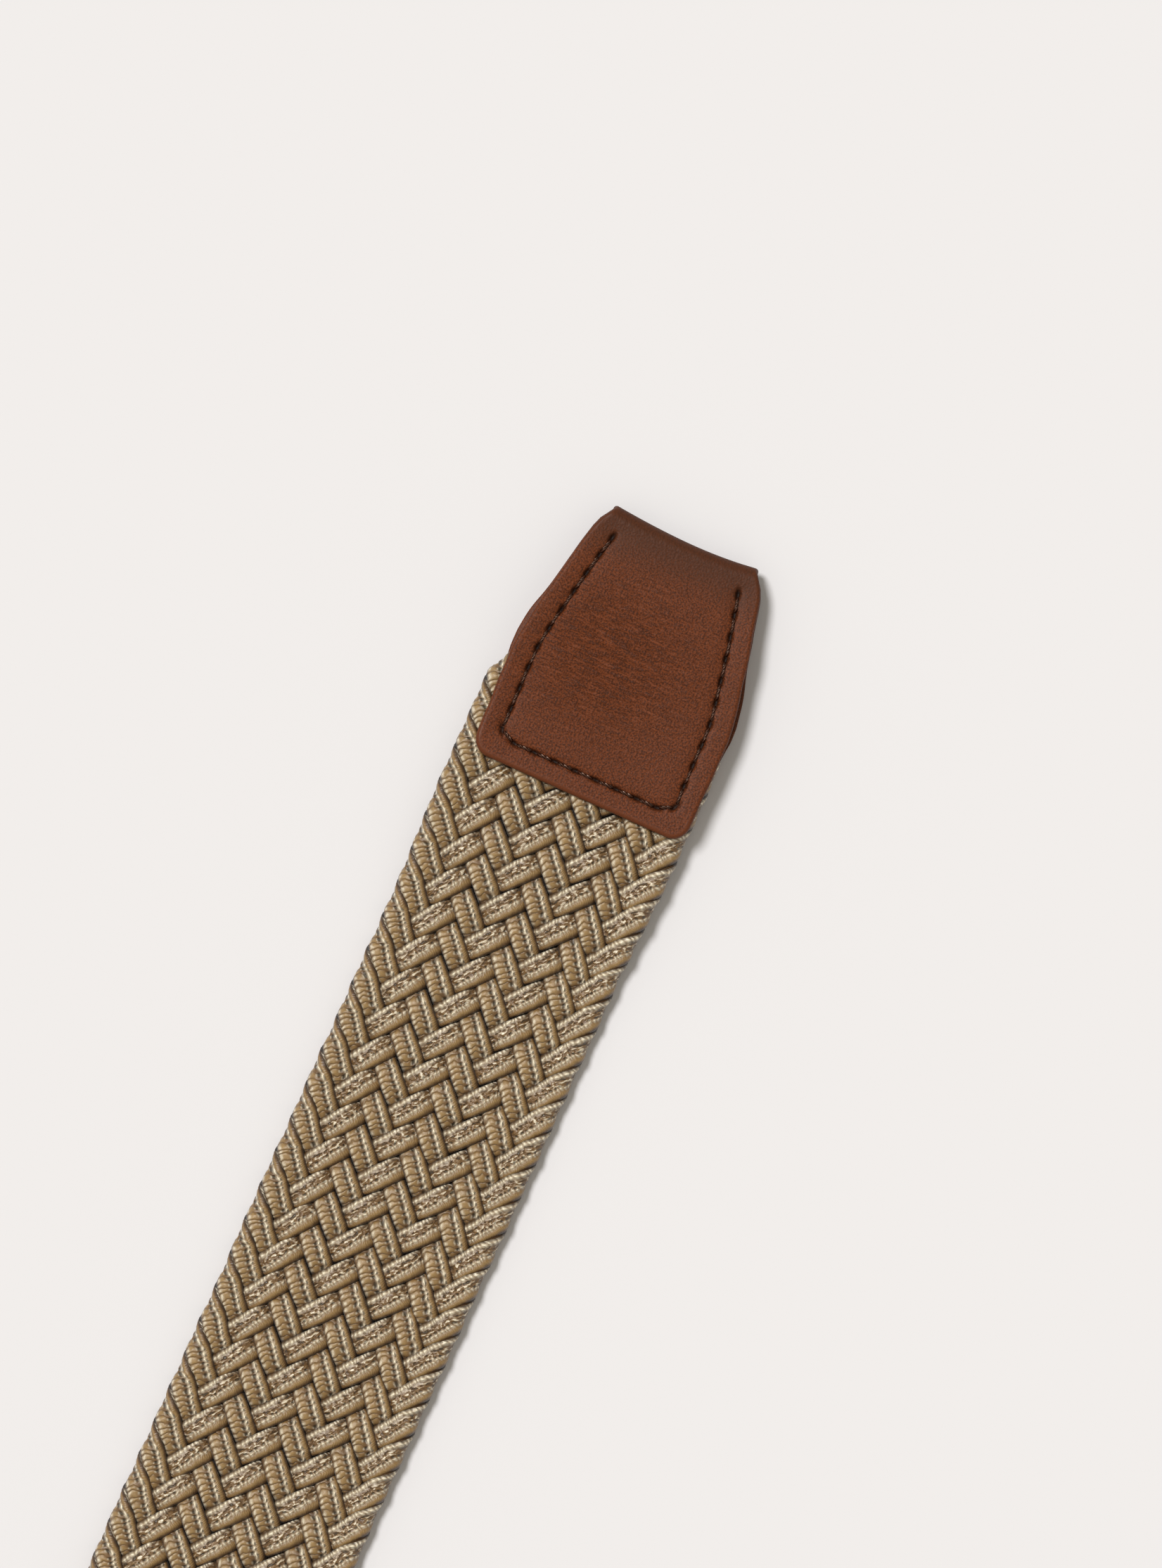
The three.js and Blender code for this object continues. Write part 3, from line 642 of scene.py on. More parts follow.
def cord_surface(cord, x_start, x_stop, along, around):
    """Points of one cord's surface between two places on the strap, and its UVs.

    along and around run 0 to 1 and are arrays of the same length."""
    settings = bpy.context.scene.belt_strap
    repeat = settings.repeat
    rings = np.unique(along)
    x_wanted = x_start + (x_stop - x_start) * rings
    steps = (x_wanted - HINGES[-1]) / (repeat / 2) - 2 * cord

    def placed(at):
        x, y, z, face, place = cord_line(cord, at)
        x = x + HINGES[-1]
        shape = 1 - (y / (LAY_WIDTH / 2)) ** 2
        bowed = x + settings.bow * shape
        bowed = bowed + wander(SEED + cord, x, 31 * MM, 0.22 * MM)
        near_tip = smooth((x - (TIP_MOUTH - 24 * MM)) / (20 * MM))
        inside_tip = smooth((x - (TIP_MOUTH + 11 * MM)) / (9 * MM))
        inside_chape = smooth(((CHAPE_MOUTH - 18 * MM) - x) / (14 * MM))
        widen = 1 + TIP_SPREAD * near_tip - TIP_PINCH * inside_tip - CHAPE_PINCH * inside_chape
        thin_from = lowest("tip_end_binding").x - 5 * MM
        thin_to = highest("chape_end_binding").x + 5 * MM
        flatten = 1 - BOUND_SQUEEZE * smooth((x - thin_from) / (5 * MM))
        flatten = flatten - BOUND_SQUEEZE * smooth((thin_to - x) / (5 * MM))
        share = y / (LAY_WIDTH / 2)
        y = y * (1 + EDGE_CROWD * (1 - np.abs(share) ** 4))
        wide = y * widen + wander(3 * SEED + cord, x, 23 * MM, 0.12 * MM)
        wide = wide + TIP_CENTRE * 0.5 * inside_tip
        deep = z * flatten + strap_height(bowed)
        return np.stack([bowed, wide, deep], -1), face, flatten, place

    middle, face, flatten, place = placed(steps)
    ahead = placed(steps + 0.02)[0]
    behind = placed(steps - 0.02)[0]
    tangent = unit(ahead - behind)
    normal = unit(face - tangent * np.sum(face * tangent, -1, keepdims=True))
    sideways = np.cross(tangent, normal)
    index = np.searchsorted(rings, along)
    angle = around * 2 * math.pi
    across = np.cos(angle)
    up = np.sign(np.sin(angle)) * np.abs(np.sin(angle)) ** 0.95
    rib = np.cos(2 * math.pi * across * 1.5)
    up = up * (1 + 0.08 * rib)
    turning = np.abs(face[:, 1])[index]
    outer = smooth((np.abs(middle[index, 1]) - 14.2 * MM) / (2.6 * MM))
    bunched = np.maximum(turning, outer)
    half_width = settings.cord_width / 2 * (1 + 0.04 * bunched)
    half_thick = settings.cord_thickness / 2 * flatten[index]
    points = (
        middle[index]
        + sideways[index] * (across * half_width)[:, None]
        + normal[index] * (up * half_thick)[:, None]
    )
    reach = (steps[index] * repeat / 2 / MM) * CORD_RUN + CORD_SHIFT * cord
    unrolled = np.where(around < 0.5, (1 - across) / 2, 1 + (1 + across) / 2)
    shown = face[index, 2] * up > 0
    level = (middle[index, 2] - strap_height(middle[index, 0])) / LAYER
    depth = np.where(np.abs(face[index, 2]) < 0.7, 0.8, np.where(shown, level, -level))
    return points, np.stack([reach, unrolled], -1), depth, place[index]


def tube_grids(name, count, rings, sides, material):
    """Flat grids, one for each tube to be, with each point's tube and its place along and round."""
    bm = bmesh.new()
    bm.loops.layers.uv.new("run")
    for index in range(count):
        bmesh.ops.create_grid(
            bm,
            x_segments=rings,
            y_segments=sides,
            size=0.5,
            matrix=Matrix.Translation((0.5, 0.5, index)),
            calc_uvs=True,
        )
    piece = new_piece(name, bm, material)
    flat = points_of(piece.data)
    return piece, np.rint(flat[:, 2]).astype(int), np.round(flat[:, 0], 6), flat[:, 1]


def shape_tubes(piece, points, run):
    """Rolls the flat grids up into closed tubes."""
    mesh = piece.data
    set_points(mesh, points)
    set_uvs(mesh, "run", run)
    bm = bmesh.new()
    bm.from_mesh(mesh)
    bmesh.ops.remove_doubles(bm, verts=bm.verts, dist=1e-7)
    rims = [edge for edge in bm.edges if edge.is_boundary]
    for edge in rims:
        edge.smooth = False
    bmesh.ops.holes_fill(bm, edges=rims, sides=0)
    bmesh.ops.recalc_face_normals(bm, faces=bm.faces)
    bm.to_mesh(mesh)
    bm.free()
    mesh.update()


def braid_piece(name, x_start, x_stop, ring_step, sides, material):
    """All the cords between two places on the strap, as closed tubes in one mesh."""
    settings = bpy.context.scene.belt_strap
    length = (x_stop - x_start) * CORD_RUN
    ring_count = max(int(math.ceil(length / ring_step)), 8)
    piece, cords, along, around = tube_grids(
        name, settings.cord_count, ring_count, sides, material
    )
    placed = np.empty((len(cords), 3))
    run = np.empty((len(cords), 2))
    depth = np.empty(len(cords))
    turn = np.empty(len(cords))
    for cord in range(settings.cord_count):
        mine = cords == cord
        placed[mine], run[mine], depth[mine], turn[mine] = cord_surface(
            cord, x_start, x_stop, along[mine], around[mine]
        )
    set_fact(piece.data, "depth", depth)
    set_fact(piece.data, "turn", turn)
    shape_tubes(piece, placed, run)
    return piece


class BELT_OT_strap(bpy.types.Operator):
    """Plait the strap's cords, in pieces that each span one hinge"""

    bl_idname = "belt.strap"
    bl_label = "Strap"

    def execute(self, context):
        material = cord_material()
        middles = [STRAP_START + 0.5 * MM]
        middles += [(a + b) / 2 for a, b in zip(HINGES[:-1], HINGES[1:])]
        middles += [STRAP_STOP - 0.5 * MM]
        for index, hinge in enumerate(HINGES):
            fine = index >= len(HINGES) - FINE_PIECES
            step, sides = (0.43 * MM, 20) if fine else (0.9 * MM, 14)
            piece = braid_piece(
                f"braid_{index + 1:02d}", middles[index], middles[index + 1], step, sides, material
            )
            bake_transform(piece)
            replaced = [f"strap_link_{index + 1:02d}"]
            if index == len(HINGES) - 1:
                replaced.append(f"strap_link_{index + 2:02d}")
            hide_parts(*replaced)
        return {"FINISHED"}


# ---- Leather ----------------------------------------------

SEAM_INSET = 3.4 * MM  # from the leather's edge
CORNER = 2.6 * MM  # radius of a flap's corners


def leather_grid(name, rows, columns, material, inside=None):
    """A flat slab of leather on a grid, with each point's row, column and side (1 is the face)."""
    bm = bmesh.new()
    bmesh.ops.create_grid(bm, x_segments=len(rows) - 1, y_segments=len(columns) - 1, size=0.5)
    if inside is not None:
        gone = []
        for face in bm.faces:
            middle = face.calc_center_median()
            i = int((middle.x + 0.5) * (len(rows) - 1))
            j = int((middle.y + 0.5) * (len(columns) - 1))
            inward = min(abs(columns[j]), abs(columns[j + 1]))
            if not inside((rows[i] + rows[i + 1]) / 2, inward):
                gone.append(face)
        bmesh.ops.delete(bm, geom=gone, context="FACES")
    bmesh.ops.solidify(bm, geom=bm.faces[:], thickness=1.0)
    bmesh.ops.recalc_face_normals(bm, faces=bm.faces)
    bm.loops.layers.uv.new("hide")
    piece = new_piece(name, bm, material)
    flat = points_of(piece.data)
    row = rows[np.rint((flat[:, 0] + 0.5) * (len(rows) - 1)).astype(int)]
    column = columns[np.rint((flat[:, 1] + 0.5) * (len(columns) - 1)).astype(int)]
    level = flat[:, 2] - flat[:, 2].min()
    return piece, row, column, np.rint(level).astype(int)


def seam_line(reach, half_width, flap, inset, pitch, face):
    """Needle holes of an open U: down one side of a flap, along its mouth and up the other."""
    reach = [r for r in reach if r < flap - inset - 1 * MM]
    side_line = [(r, half_width(r) - inset) for r in reach]
    last = side_line[-1][1]
    corner = 0.9 * MM
    line = side_line + [
        (flap - inset - corner, last),
        (flap - inset - 0.25 * corner, last - 0.25 * corner),
        (flap - inset, last - corner),
    ]
    mirrored = [(a, -b) for a, b in reversed(line)]
    points = np.array(line + mirrored)
    points[:, 0] *= face
    return along_line(points, pitch)


def edge_steps(reach, fine=()):
    """Distances in from a leather edge, close together at the edge and at each fine place."""
    marks = [0, 0.03, 0.09, 0.18, 0.3, 0.45, 0.62, 0.85, 1.15, 1.5, 1.9, 2.3, 2.7]
    near = [-0.7, -0.5, -0.36, -0.26, -0.17, -0.08, 0, 0.08, 0.17, 0.26, 0.36, 0.5, 0.7]
    for place in fine:
        marks = [m for m in marks if abs(m - place) > 0.72]
        marks += [place + step for step in near]
    marks = sorted(m for m in marks if m < reach)
    while marks[-1] + 0.55 < reach:
        marks.append(marks[-1] + 0.55)
    return np.array(marks) * MM


def both_sides(inward):
    """Column places that count in from either side: from one side below zero, from the other above."""
    inward = inward + 1e-9
    return np.concatenate([-inward, inward[:-1][::-1]])


def round_corner(along, across, radius):
    """Distances in from an end and a side, with their shared corner rounded, and the distance in."""
    a = np.clip(1 - along / radius, 0, 1)
    b = np.clip(1 - across / radius, 0, 1)
    turned_a = a * np.sqrt(1 - b * b / 2)
    turned_b = b * np.sqrt(1 - a * a / 2)
    end = np.where(a > 0, (1 - turned_a) * radius, along)
    side = np.where(b > 0, (1 - turned_b) * radius, across)
    both = (a > 0) & (b > 0)
    inset = np.where(both, radius * (1 - np.hypot(turned_a, turned_b)), np.minimum(end, side))
    return end, side, inset


def rounded_rim(inset, side, thickness, radius):
    """Height through the leather's thickness, with its edges rounded off."""
    drop = radius - np.sqrt(np.maximum(radius**2 - np.maximum(radius - inset, 0) ** 2, 0))
    return np.where(side == 1, thickness / 2 - drop, -thickness / 2 + 0.4 * drop)


def along_line(points, pitch):
    """Places at an even pitch along a line of straight runs, from its first to its last point."""
    points = np.asarray(points, float)
    steps = np.linalg.norm(np.diff(points, axis=0), axis=1)
    total = np.concatenate([[0], np.cumsum(steps)])
    places = np.linspace(0, total[-1], int(round(total[-1] / pitch)) + 1)
    return np.stack([np.interp(places, total, points[:, k]) for k in range(2)], -1)


def seam_relief(s, y, holes, groove=0.16 * MM):
    """How far a seam pulls the leather down, and how strongly its holes are painted dark as shade."""
    gap = np.full(len(s), 1.0)
    pit = np.zeros(len(s))
    ends = zip(holes[:-1], holes[1:])
    for a, b in ends:
        run = b - a
        t = np.clip(((s - a[0]) * run[0] + (y - a[1]) * run[1]) / (run @ run), 0, 1)
        gap = np.minimum(gap, np.hypot(s - a[0] - t * run[0], y - a[1] - t * run[1]))
    for index, hole in enumerate(holes):
        run = holes[min(index + 1, len(holes) - 1)] - holes[max(index - 1, 0)]
        run = run / np.linalg.norm(run)
        ds = s - hole[0]
        dy = y - hole[1]
        lengthwise = (ds * run[0] + dy * run[1]) / (0.92 * MM)
        crosswise = (dy * run[0] - ds * run[1]) / (0.38 * MM)
        pit = np.maximum(pit, np.exp(-(lengthwise**2 + crosswise**2) ** 1.5))
    drop = groove * np.exp(-((gap / (0.75 * MM)) ** 2)) + 0.10 * MM * np.exp(-(gap / (2.2 * MM)) ** 2)
    return drop + 0.55 * MM * pit, pit


def end_seams(reach, half_width, flap):
    """Needle holes of a folded end's front and back seams."""
    pitch = bpy.context.scene.belt_leather.stitch
    return [seam_line(reach, half_width, flap, SEAM_INSET, pitch, face) for face in (1, -1)]


def two_seams(s, y, front, back):
    """The relief and the holes of the seams on a folded end's front and back flaps."""
    drop, pit = seam_relief(s, y, front)
    drop_back, pit_back = seam_relief(s, y, back)
    return np.where(s > 0, drop, drop_back), np.where(s > 0, pit, pit_back)


def give_facts(piece, side, rim, fold, pit, crease):
    """Stores what the leather's material asks for. All but the fold are the face's alone."""
    face = side == 1
    set_fact(piece.data, "rim", rim)
    set_fact(piece.data, "fold", fold)
    set_fact(piece.data, "pit", np.where(face, pit, 0.0))
    set_fact(piece.data, "crease", crease * face)


def say_what(piece, body, node):
    """Says which body a piece rides on and the node that it replaces."""
    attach(piece, body)
    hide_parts(node)


def sew_end(end, body, surface, front, back):
    """The stitches of both of an end's seams."""

    def top(s, y, lift):
        return surface(s, y, lift + LEATHER / 2 - 0.1 * MM)

    thread = bpy.data.materials["sewing_thread"]
    for face, holes in (("front", front), ("back", back)):
        stitches = sew(f"{end}_{face}_stitches", holes, top, thread)
        say_what(stitches, body, f"{end}_{face}_thread")


def wrap(s, y, height, centre_x, centre_z, radius, spread, taper, way):
    """Folds flat leather round a line across the belt. s is the distance from the fold.

    The front flap is where s is positive. way is 1 for a fold at the tip's end of the belt."""
    quarter = radius * math.pi / 2
    turn = np.clip(s / radius, -math.pi / 2, math.pi / 2)
    run = np.maximum(np.abs(s) - quarter, 0)
    side = np.where(s >= 0, 1.0, -1.0)
    share = np.clip(run / taper, 0, 1)
    rise = (spread - radius) * smooth(share)
    slope = (spread - radius) * 6 * share * (1 - share) / taper
    x = centre_x + way * (radius * np.cos(turn) - run)
    z = centre_z + radius * np.sin(turn) + side * rise
    out = np.stack([np.cos(turn) * way, np.zeros_like(s), np.sin(turn)], -1)
    flat = unit(np.stack([slope * way, np.zeros_like(s), side], -1))
    normal = np.where((run > 0)[:, None], flat, out)
    return np.stack([x, y, z], -1) + normal * height[:, None]


def sew(name, holes, surface, material):
    """Short threads from hole to hole. surface(s, y, height) gives a place above the leather."""
    radius = bpy.context.scene.belt_leather.thread / 2
    count = len(holes) - 1
    piece, index, along, around = tube_grids(name, count, 14, 8, material)
    jitter = np.random.default_rng(SEED).uniform(-1, 1, (count, 3)) * (0.06 * MM)
    start = holes[:-1][index]
    end = holes[1:][index]

    def middle(t, extra=0.0):
        place = start + (end - start) * (0.13 + 0.74 * t)[:, None]
        rise = smooth(t / 0.2) * smooth((1 - t) / 0.2)
        swing = np.sin(math.pi * t) * jitter[index, 1]
        lift = -0.80 * MM + (0.66 * MM + jitter[index, 0]) * rise + extra
        return surface(place[:, 0], place[:, 1] + swing, lift)

    centre = middle(along)
    tangent = unit(middle(along + 0.01) - middle(along - 0.01))
    lifted = unit(middle(along, 0.5 * MM) - centre)
    across = unit(np.cross(tangent, lifted))
    upward = np.cross(across, tangent)
    angle = around * 2 * math.pi
    points = (
        centre
        + across * (np.cos(angle) * radius * 1.05)[:, None]
        + upward * (np.sin(angle) * radius * 0.85)[:, None]
    )
    shape_tubes(piece, points, np.stack([along * 2 + index, around], -1))
    return piece


def tip_half_width(distance):
    """Half the width of the tip's leather at a distance from its fold."""
    places = np.array([0, 0.3, 2, 3.4, 9.6, 14.6, 18.3, 22, 24.5, 30.7, 38.2, 42]) * MM
    halves = np.array([11.5, 11.65, 12.85, 13.4, 14.8, 15.8, 16.5, 17.15, 17.35, 17.3, 17.1, 17.0])
    return np.interp(distance, places, halves * MM)


class BELT_OT_tip(bpy.types.Operator):
    """Fold the tip's leather over the end of the strap and sew it"""

    bl_idname = "belt.tip"
    bl_label = "Tip"

    def execute(self, context):
        leather = leather_material()
        thread_material()
        radius = 1.275 * MM
        spread = TIP_HEIGHT - LEATHER / 2
        quarter = radius * math.pi / 2
        flap = TIP_LENGTH - radius - LEATHER / 2 + quarter
        centre_x = TIP_END - radius - LEATHER / 2
        skew = math.tan(math.radians(1.1))

        def surface(s, y, height):
            distance = np.maximum(np.abs(s) - quarter + radius, 0)
            half = tip_half_width(distance)
            dip = 0.75 * MM * (1 - (y / half) ** 2) * (1 - smooth(distance / (9 * MM)))
            placed = wrap(s, y, height, centre_x, TIP_HEIGHT, radius, spread, 11.5 * MM, 1)
            placed[:, 0] -= dip
            placed[:, 1] += TIP_CENTRE + (placed[:, 0] - TIP_MOUTH) * skew
            return placed

        sides = ends = edge_steps(7, (3.5,))
        middle = np.arange(ends[-1] / MM + 0.24, (2 * flap - ends[-1]) / MM - 0.1, 0.24) * MM
        rows = np.concatenate([ends, middle, (2 * flap - ends)[::-1]]) - flap
        inner = np.linspace(sides[-1] + 0.5 * MM, 17 * MM, 19)
        columns = both_sides(np.concatenate([sides, inner]))
        piece, s, column, side = leather_grid("tip_hide", rows, columns, leather)
        sign, inward = np.sign(column), np.abs(column)
        distance = np.maximum(np.abs(s) - quarter + radius, 0)
        half = tip_half_width(distance)
        bulge = np.exp(-(((distance - 20 * MM) / (5 * MM)) ** 2))
        half = half + np.where(s < 0, 0.12 * MM + 0.5 * MM * bulge, 0.0)
        wobble = wander(SEED, s + 0.1 * sign, 9 * MM, 0.13 * MM)
        share = smooth((inward - 6 * MM) / (11 * MM))
        inward_real = inward + (half - 17 * MM) * share
        end_gap = flap - np.abs(s)
        end, across, edge = round_corner(end_gap, inward_real, CORNER)
        s = np.sign(s) * (flap - end)
        y = sign * (half + wobble * (1 - share) - across)

        reach = [quarter - radius + d * MM for d in (3.9, 9.6, 14.6, 18.3, 22, 24.5, 30.7, 37.5)]

        def half_at(r):
            return tip_half_width(r - quarter + radius)

        front, back = end_seams(reach, half_at, flap)
        drop, pit = two_seams(s, y, front, back)
        height = rounded_rim(edge, side, LEATHER, 0.62 * MM)
        uneven = 0.05 * MM * np.sin(s / (5.1 * MM) + y / (3.7 * MM)) * smooth(edge / (3 * MM))
        height = height + np.where(side == 1, uneven - drop, 0)
        set_points(piece.data, surface(s, y, height))
        set_uvs(piece.data, "hide", np.stack([s, y], -1))
        rim = 1 - smooth((edge - 0.45 * MM) / (0.65 * MM))
        mouth = smooth((np.abs(s) - (flap - 6 * MM)) / (4 * MM))
        rim = np.where(side == 1, rim, 1.0) * (0.35 + 0.65 * mouth)
        # painted shade towards the fold, where the leather bends away from the light
        fold = 1 - smooth((distance - 1 * MM) / (8 * MM))
        hollow = np.exp(-(((s - 21 * MM) / (11 * MM)) ** 2) - ((y - 4 * MM) / (13 * MM)) ** 2)
        give_facts(piece, side, rim, fold, pit, hollow)
        say_what(piece, "tip_end", "tip_leather")
        sew_end("tip", "tip_end", surface, front, back)
        return {"FINISHED"}


class BELT_OT_chape(bpy.types.Operator):
    """Fold the chape's leather round the buckle's bar, slot it for the prong and sew it"""

    bl_idname = "belt.chape"
    bl_label = "Chape"

    def execute(self, context):
        leather = bpy.data.materials["leather_brown"]
        half = highest("chape_leather").y
        radius = highest("chape_leather").z - BAR.z - LEATHER / 2
        quarter = radius * math.pi / 2
        flap = CHAPE_MOUTH - BAR.x + quarter
        slot_half = 2.1 * MM
        slot_end = quarter + 7 * MM

        def surface(s, y, height):
            return wrap(s, y, height, BAR.x, BAR.z, radius, radius, 10 * MM, -1)

        steps = np.array([0, 0.05, 0.13, 0.24, 0.38, 0.55, 0.8, 1.1]) * MM
        sides = ends = edge_steps(6.5, (3.4,))
        middle = np.arange(slot_end + 1.35 * MM, flap - ends[-1] - 0.1 * MM, 0.3 * MM)
        inside = np.arange(0.25 * MM, slot_end - 0.2 * MM, 0.5 * MM)
        half_rows = np.concatenate([inside, slot_end + steps, middle, (flap - ends)[::-1]])
        rows = np.concatenate([-half_rows[::-1], half_rows])
        inner = np.arange(sides[-1] + 0.55 * MM, half - slot_half - 1.3 * MM, 0.6 * MM)
        at_slot = (half - slot_half - steps)[::-1]
        in_slot = [half - slot_half / 2, half]
        columns = both_sides(np.concatenate([sides, inner, at_slot, in_slot]))

        def kept(s, inward):
            return abs(s) > slot_end or inward < half - slot_half - 0.01 * MM

        piece, s, column, side = leather_grid("chape_hide", rows, columns, leather, kept)
        sign, inward = np.sign(column), np.abs(column)
        end, across, edge = round_corner(flap - np.abs(s), inward, CORNER)
        s = np.sign(s) * (flap - end)
        y = sign * (half - across)
        beyond = np.maximum(np.abs(s) - slot_end, 0)
        beside = np.maximum(np.abs(y) - slot_half, 0)
        edge = np.minimum(edge, np.hypot(beyond, beside))
        reach = [quarter + d * MM for d in (8, 20, 32, 43)]
        front, back = end_seams(reach, lambda r: half, flap)
        drop, pit = two_seams(s, y, front, back)
        height = rounded_rim(edge, side, LEATHER, 0.5 * MM)
        height = height - np.where(side == 1, drop, 0)
        set_points(piece.data, surface(s, y, height))
        set_uvs(piece.data, "hide", np.stack([s, y + 0.1], -1))
        rim = 1 - smooth((edge - 0.45 * MM) / (0.65 * MM))
        rim = np.where(side == 1, rim, 1.0) * 0.8
        # painted shade towards the fold round the bar
        fold = 1 - smooth((np.abs(s) - 4 * MM) / (7 * MM))
        hollow = 0.7 * np.exp(-(((np.abs(s) - 12 * MM) / (6 * MM)) ** 2))
        give_facts(piece, side, rim, fold, pit, hollow)
        say_what(piece, "chape_end", "chape_leather")
        sew_end("chape", "chape_end", surface, front, back)
        return {"FINISHED"}


def loop_path(s, half_width, half_height, corner):
    """A place and an outward direction round a rounded rectangle, from the middle of its foot."""
    flat = half_width - corner
    wall = half_height - corner
    arc = corner * math.pi / 2
    lengths = [flat, arc, 2 * wall, arc, 2 * flat, arc, 2 * wall, arc, flat]
    ends = np.cumsum([0] + lengths)
    s = np.clip(s, 0, ends[-1])
    leg = np.clip(np.searchsorted(ends, s, side="right") - 1, 0, 8)
    along = s - ends[leg]
    y = np.zeros_like(s)
    z = np.zeros_like(s)
    turn = np.zeros_like(s)
    starts = [(0, -half_height), None, (half_width, -wall), None, (flat, half_height)]
    starts += [None, (-half_width, wall), None, (-flat, -half_height)]
    ways = [(1, 0), None, (0, 1), None, (-1, 0), None, (0, -1), None, (1, 0)]
    centres = {1: (flat, -wall), 3: (flat, wall), 5: (-flat, wall), 7: (-flat, -wall)}
    for index in range(9):
        mine = leg == index
        quarter = (index // 2) * math.pi / 2 - math.pi / 2
        if index in centres:
            angle = quarter + along[mine] / corner
            y[mine] = centres[index][0] + corner * np.cos(angle)
            z[mine] = centres[index][1] + corner * np.sin(angle)
            turn[mine] = angle
        else:
            y[mine] = starts[index][0] + ways[index][0] * along[mine]
            z[mine] = starts[index][1] + ways[index][1] * along[mine]
            turn[mine] = quarter
    out = np.stack([np.zeros_like(s), np.cos(turn), np.sin(turn)], -1)
    return y, z, out, ends[-1]


class BELT_OT_keeper(bpy.types.Operator):
    """Bend the keeper's strip of leather into its loop"""

    bl_idname = "belt.keeper"
    bl_label = "Keeper"

    def execute(self, context):
        leather = bpy.data.materials["leather_brown"]
        low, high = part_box("keeper_loop")
        thickness = 1.2 * MM
        half_width = (high.y - low.y - thickness) / 2
        half_height = (high.z - low.z - thickness) / 2
        corner = 2.2 * MM
        total = loop_path(np.zeros(1), half_width, half_height, corner)[3]
        length = high.x - low.x
        line_inset = 1.6 * MM
        edges = edge_steps(2.6, (1.6,))
        inner = np.linspace(edges[-1], length - edges[-1], 18)[1:-1]
        columns = np.concatenate([edges, inner, (length - edges)[::-1]])
        tips = np.array([0, 0.05, 0.15, 0.3, 0.5, 0.8]) * MM
        middle = np.arange(1.2 * MM, total - 1.0 * MM, 0.4 * MM)
        rows = np.concatenate([tips, middle, (total - tips)[::-1]])
        piece, s, x, side = leather_grid("keeper_strip", rows, columns, leather)
        edge = np.minimum(np.minimum(x, length - x), np.minimum(s, total - s) * 2)
        y, z, out = loop_path(s, half_width, half_height, corner)[:3]
        height = rounded_rim(edge, side, thickness, 0.42 * MM)
        line = np.minimum(np.abs(x - line_inset), np.abs(length - x - line_inset))
        groove = 0.14 * MM * np.exp(-((line / (0.22 * MM)) ** 2))
        height = height - np.where(side == 1, groove, 0)
        middle_z = (low.z + high.z) / 2
        points = np.stack([low.x + x, y, middle_z + z], -1) + out * height[:, None]
        set_points(piece.data, points)
        set_uvs(piece.data, "hide", np.stack([s, x + 0.2], -1))
        rim = 1 - smooth((edge - 0.4 * MM) / (0.5 * MM))
        rim = np.where(side == 1, rim, 1.0) * 0.8
        # painted shade along the two creased grooves, stored as the fold
        fold = np.exp(-((line / (0.3 * MM)) ** 2)) * 0.8
        bends = np.abs(out[:, 1] * out[:, 2]) * 2
        give_facts(piece, side, rim, fold, np.zeros(len(s)), bends)
        say_what(piece, "keeper", "keeper_loop")
        return {"FINISHED"}


def metal_material():
    """Brushed, slightly worn antique brass."""
    material, n, shader = new_material("antique_brass")
    place = n.object_place()
    brushed = n.noise(n.scaled(place, (260.0, 4000.0, 2600.0)), 1.0, detail=3.0, roughness=0.6)
    cloud = n.noise(place, 190.0, detail=3.0)
    tone = n.mix(n.map_range(cloud, 0.35, 0.68), (0.30, 0.205, 0.105, 1), (0.47, 0.335, 0.175, 1))
    look = {"Base Color": tone, "Roughness": n.map_range(brushed, 0.2, 0.8, 0.24, 0.42)}
    look["Normal"] = n.bump(brushed, 0.25, 0.02 * MM)
    look["Metallic"] = 1.0
    n.fill(shader, look)
    return material


def tape_material():
    """Plain woven tape in a colour a little darker than the cords."""
    material, n, shader = new_material("binding_tape")
    place = n.object_place()
    weave = n.add("ShaderNodeTexChecker")
    n.fill(weave, {"Vector": place, "Scale": 2200.0})
    mottle = n.noise(place, 900.0, detail=2.0)
    base = n.mix(mottle, (0.16, 0.11, 0.06, 1), (0.24, 0.17, 0.10, 1))
    tone = n.map_range(weave.outputs["Fac"], 0.0, 1.0, 0.75, 1.1)
    look = {"Base Color": n.mix(1.0, base, tone, "MULTIPLY"), "Roughness": 0.75}
    look["Normal"] = n.bump(weave.outputs["Fac"], 0.4, 0.08 * MM)
    n.fill(shader, look)
    return material


class BELT_OT_fittings(bpy.types.Operator):
    """Give the buckle, its bar, its prong, the bindings and the keeper's thread their finishes"""

    bl_idname = "belt.fittings"
    bl_label = "Fittings"

    def execute(self, context):
        metal = metal_material()
        tape = tape_material()
        thread = bpy.data.materials["sewing_thread"]
        for node, slot, material in (
            ("buckle_frame", "metal", metal),
            ("buckle_bar", "metal", metal),
            ("buckle_prong", "metal", metal),
            ("tip_end_binding", "binding", tape),
            ("chape_end_binding", "binding", tape),
            ("keeper_thread", "thread", thread),
        ):
            mesh = frame["nodes"][node].data
            mesh.materials.clear()
            mesh.materials.append(material)
        return {"FINISHED"}


# ---- Stage ------------------------------------------------


class BELT_OT_stage(bpy.types.Operator):
    """Make the floor, the light, the backdrop and the camera"""

    bl_idname = "belt.stage"
    bl_label = "Stage"

    def execute(self, context):
        scene = context.scene
        scene.view_settings.view_transform = "Standard"
        make_floor()
        make_world(scene)
        make_light()
        make_camera(scene)
        return {"FINISHED"}


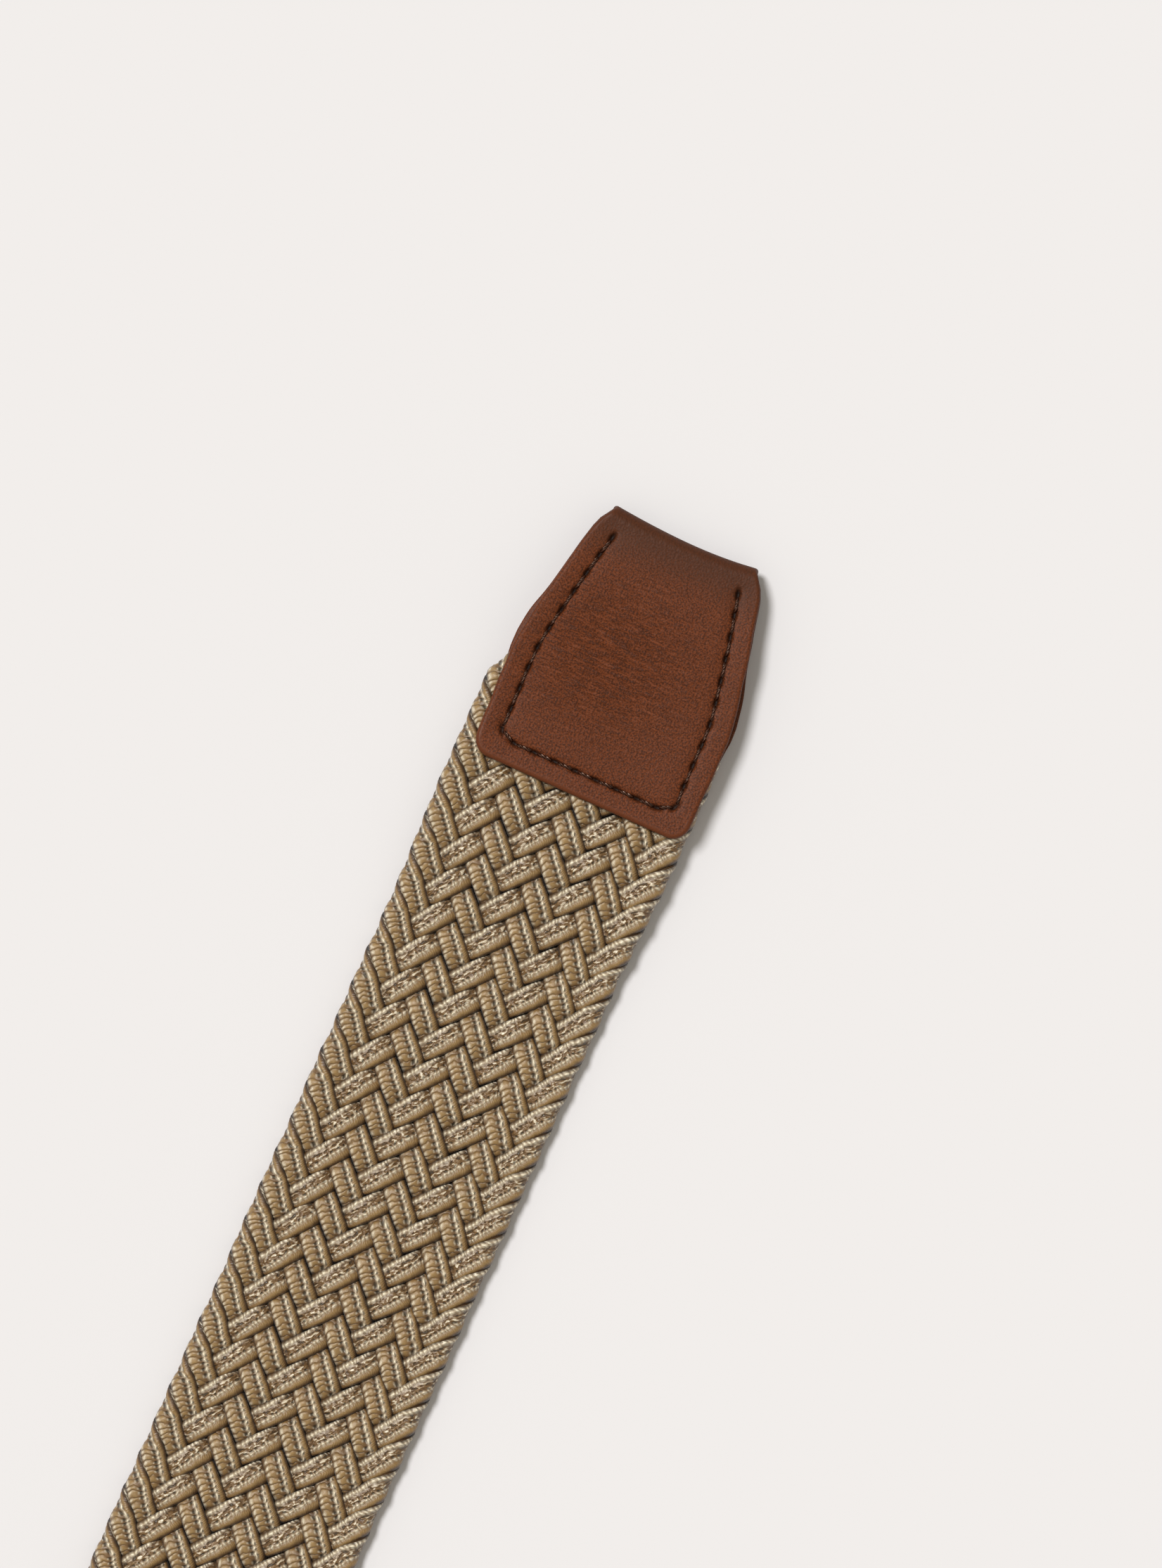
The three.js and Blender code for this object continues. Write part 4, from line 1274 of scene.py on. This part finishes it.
PAPER = (0.887, 0.855, 0.831)  # the backdrop as the camera sees it
FLOOR = (0.6957, 0.6968, 0.7277)  # the floor's own colour, which the lights bring up to PAPER
FILL = (1.0, 0.93, 0.80)
FILL_STRENGTH = 0.46
SUN = (1.0, 0.98, 0.95)
SUN_STRENGTH = 2.9
SUN_SPREAD = math.radians(16)
SUN_TURN = math.radians(70)
SUN_HEIGHT = math.radians(62)
VIEW_HEIGHT = 230.8 * MM  # of the view, at the belt
VIEW_LEAN = math.radians(24.3)


def make_floor():
    bm = bmesh.new()
    bmesh.ops.create_grid(bm, x_segments=1, y_segments=1, size=6.0)
    material, n, shader = new_material("pale_floor")
    n.fill(shader, {"Base Color": rgba(FLOOR), "Roughness": 1.0, "Specular IOR Level": 0.0})
    floor = new_piece("floor", bm, material, shade=False)


def make_world(scene):
    world = bpy.data.worlds.new("studio")
    world.use_nodes = True
    world.node_tree.nodes.clear()
    n = Nodes(world.node_tree)
    seen = n.add("ShaderNodeBackground")
    n.fill(seen, {"Color": rgba(PAPER)})
    fill = n.add("ShaderNodeBackground")
    n.fill(fill, {"Color": rgba(FILL), "Strength": FILL_STRENGTH})
    path = n.add("ShaderNodeLightPath")
    blend = n.add("ShaderNodeMixShader")
    out = n.add("ShaderNodeOutputWorld")
    n.join(path.outputs["Is Camera Ray"], blend.inputs[0])
    n.join(fill.outputs[0], blend.inputs[1])
    n.join(seen.outputs[0], blend.inputs[2])
    n.join(blend.outputs[0], out.inputs["Surface"])
    scene.world = world


def make_light():
    """A broad sun from the upper left of the view."""
    light = bpy.data.lights.new("key", "SUN")
    light.energy = SUN_STRENGTH
    light.angle = SUN_SPREAD
    light.color = SUN
    lamp = bpy.data.objects.new("key", light)
    bpy.context.scene.collection.objects.link(lamp)
    flat = math.cos(SUN_HEIGHT)
    away = (math.cos(SUN_TURN) * flat, math.sin(SUN_TURN) * flat, math.sin(SUN_HEIGHT))
    lamp.rotation_euler = (-Vector(away)).to_track_quat("-Z", "Y").to_euler()


def make_camera(scene):
    data = bpy.data.cameras.new("camera")
    data.lens = 200
    data.sensor_width = 36
    camera = bpy.data.objects.new("camera", data)
    scene.collection.objects.link(camera)
    distance = data.lens / data.sensor_width * VIEW_HEIGHT
    camera.location = (TIP_END - 39.5 * MM, TIP_CENTRE + 0.14 * MM, distance)
    camera.rotation_euler = (0, 0, VIEW_LEAN - math.pi / 2)
    data.clip_end = 20
    scene.camera = camera


# ---- Panel and registration -------------------------------

OPERATORS = (
    BELT_OT_strap,
    BELT_OT_tip,
    BELT_OT_chape,
    BELT_OT_keeper,
    BELT_OT_fittings,
    BELT_OT_stage,
)


class BELT_PT_panel(bpy.types.Panel):
    bl_label = "Braided belt"
    bl_idname = "BELT_PT_panel"
    bl_space_type = "VIEW_3D"
    bl_region_type = "UI"
    bl_category = "Belt"

    def draw(self, context):
        for operator in OPERATORS:
            self.layout.operator(operator.bl_idname)


CLASSES = (BeltStrapSettings, BeltLeatherSettings) + OPERATORS + (BELT_PT_panel,)


def register():
    for cls in CLASSES:
        bpy.utils.register_class(cls)
    bpy.types.Scene.belt_strap = PointerProperty(type=BeltStrapSettings)
    bpy.types.Scene.belt_leather = PointerProperty(type=BeltLeatherSettings)


def unregister():
    del bpy.types.Scene.belt_leather
    del bpy.types.Scene.belt_strap
    for cls in reversed(CLASSES):
        bpy.utils.unregister_class(cls)


def main():
    register()
    bpy.ops.belt.strap()
    bpy.ops.belt.tip()
    bpy.ops.belt.chape()
    bpy.ops.belt.keeper()
    bpy.ops.belt.fittings()
    bpy.ops.belt.stage()


if __name__ == "__main__":
    main()
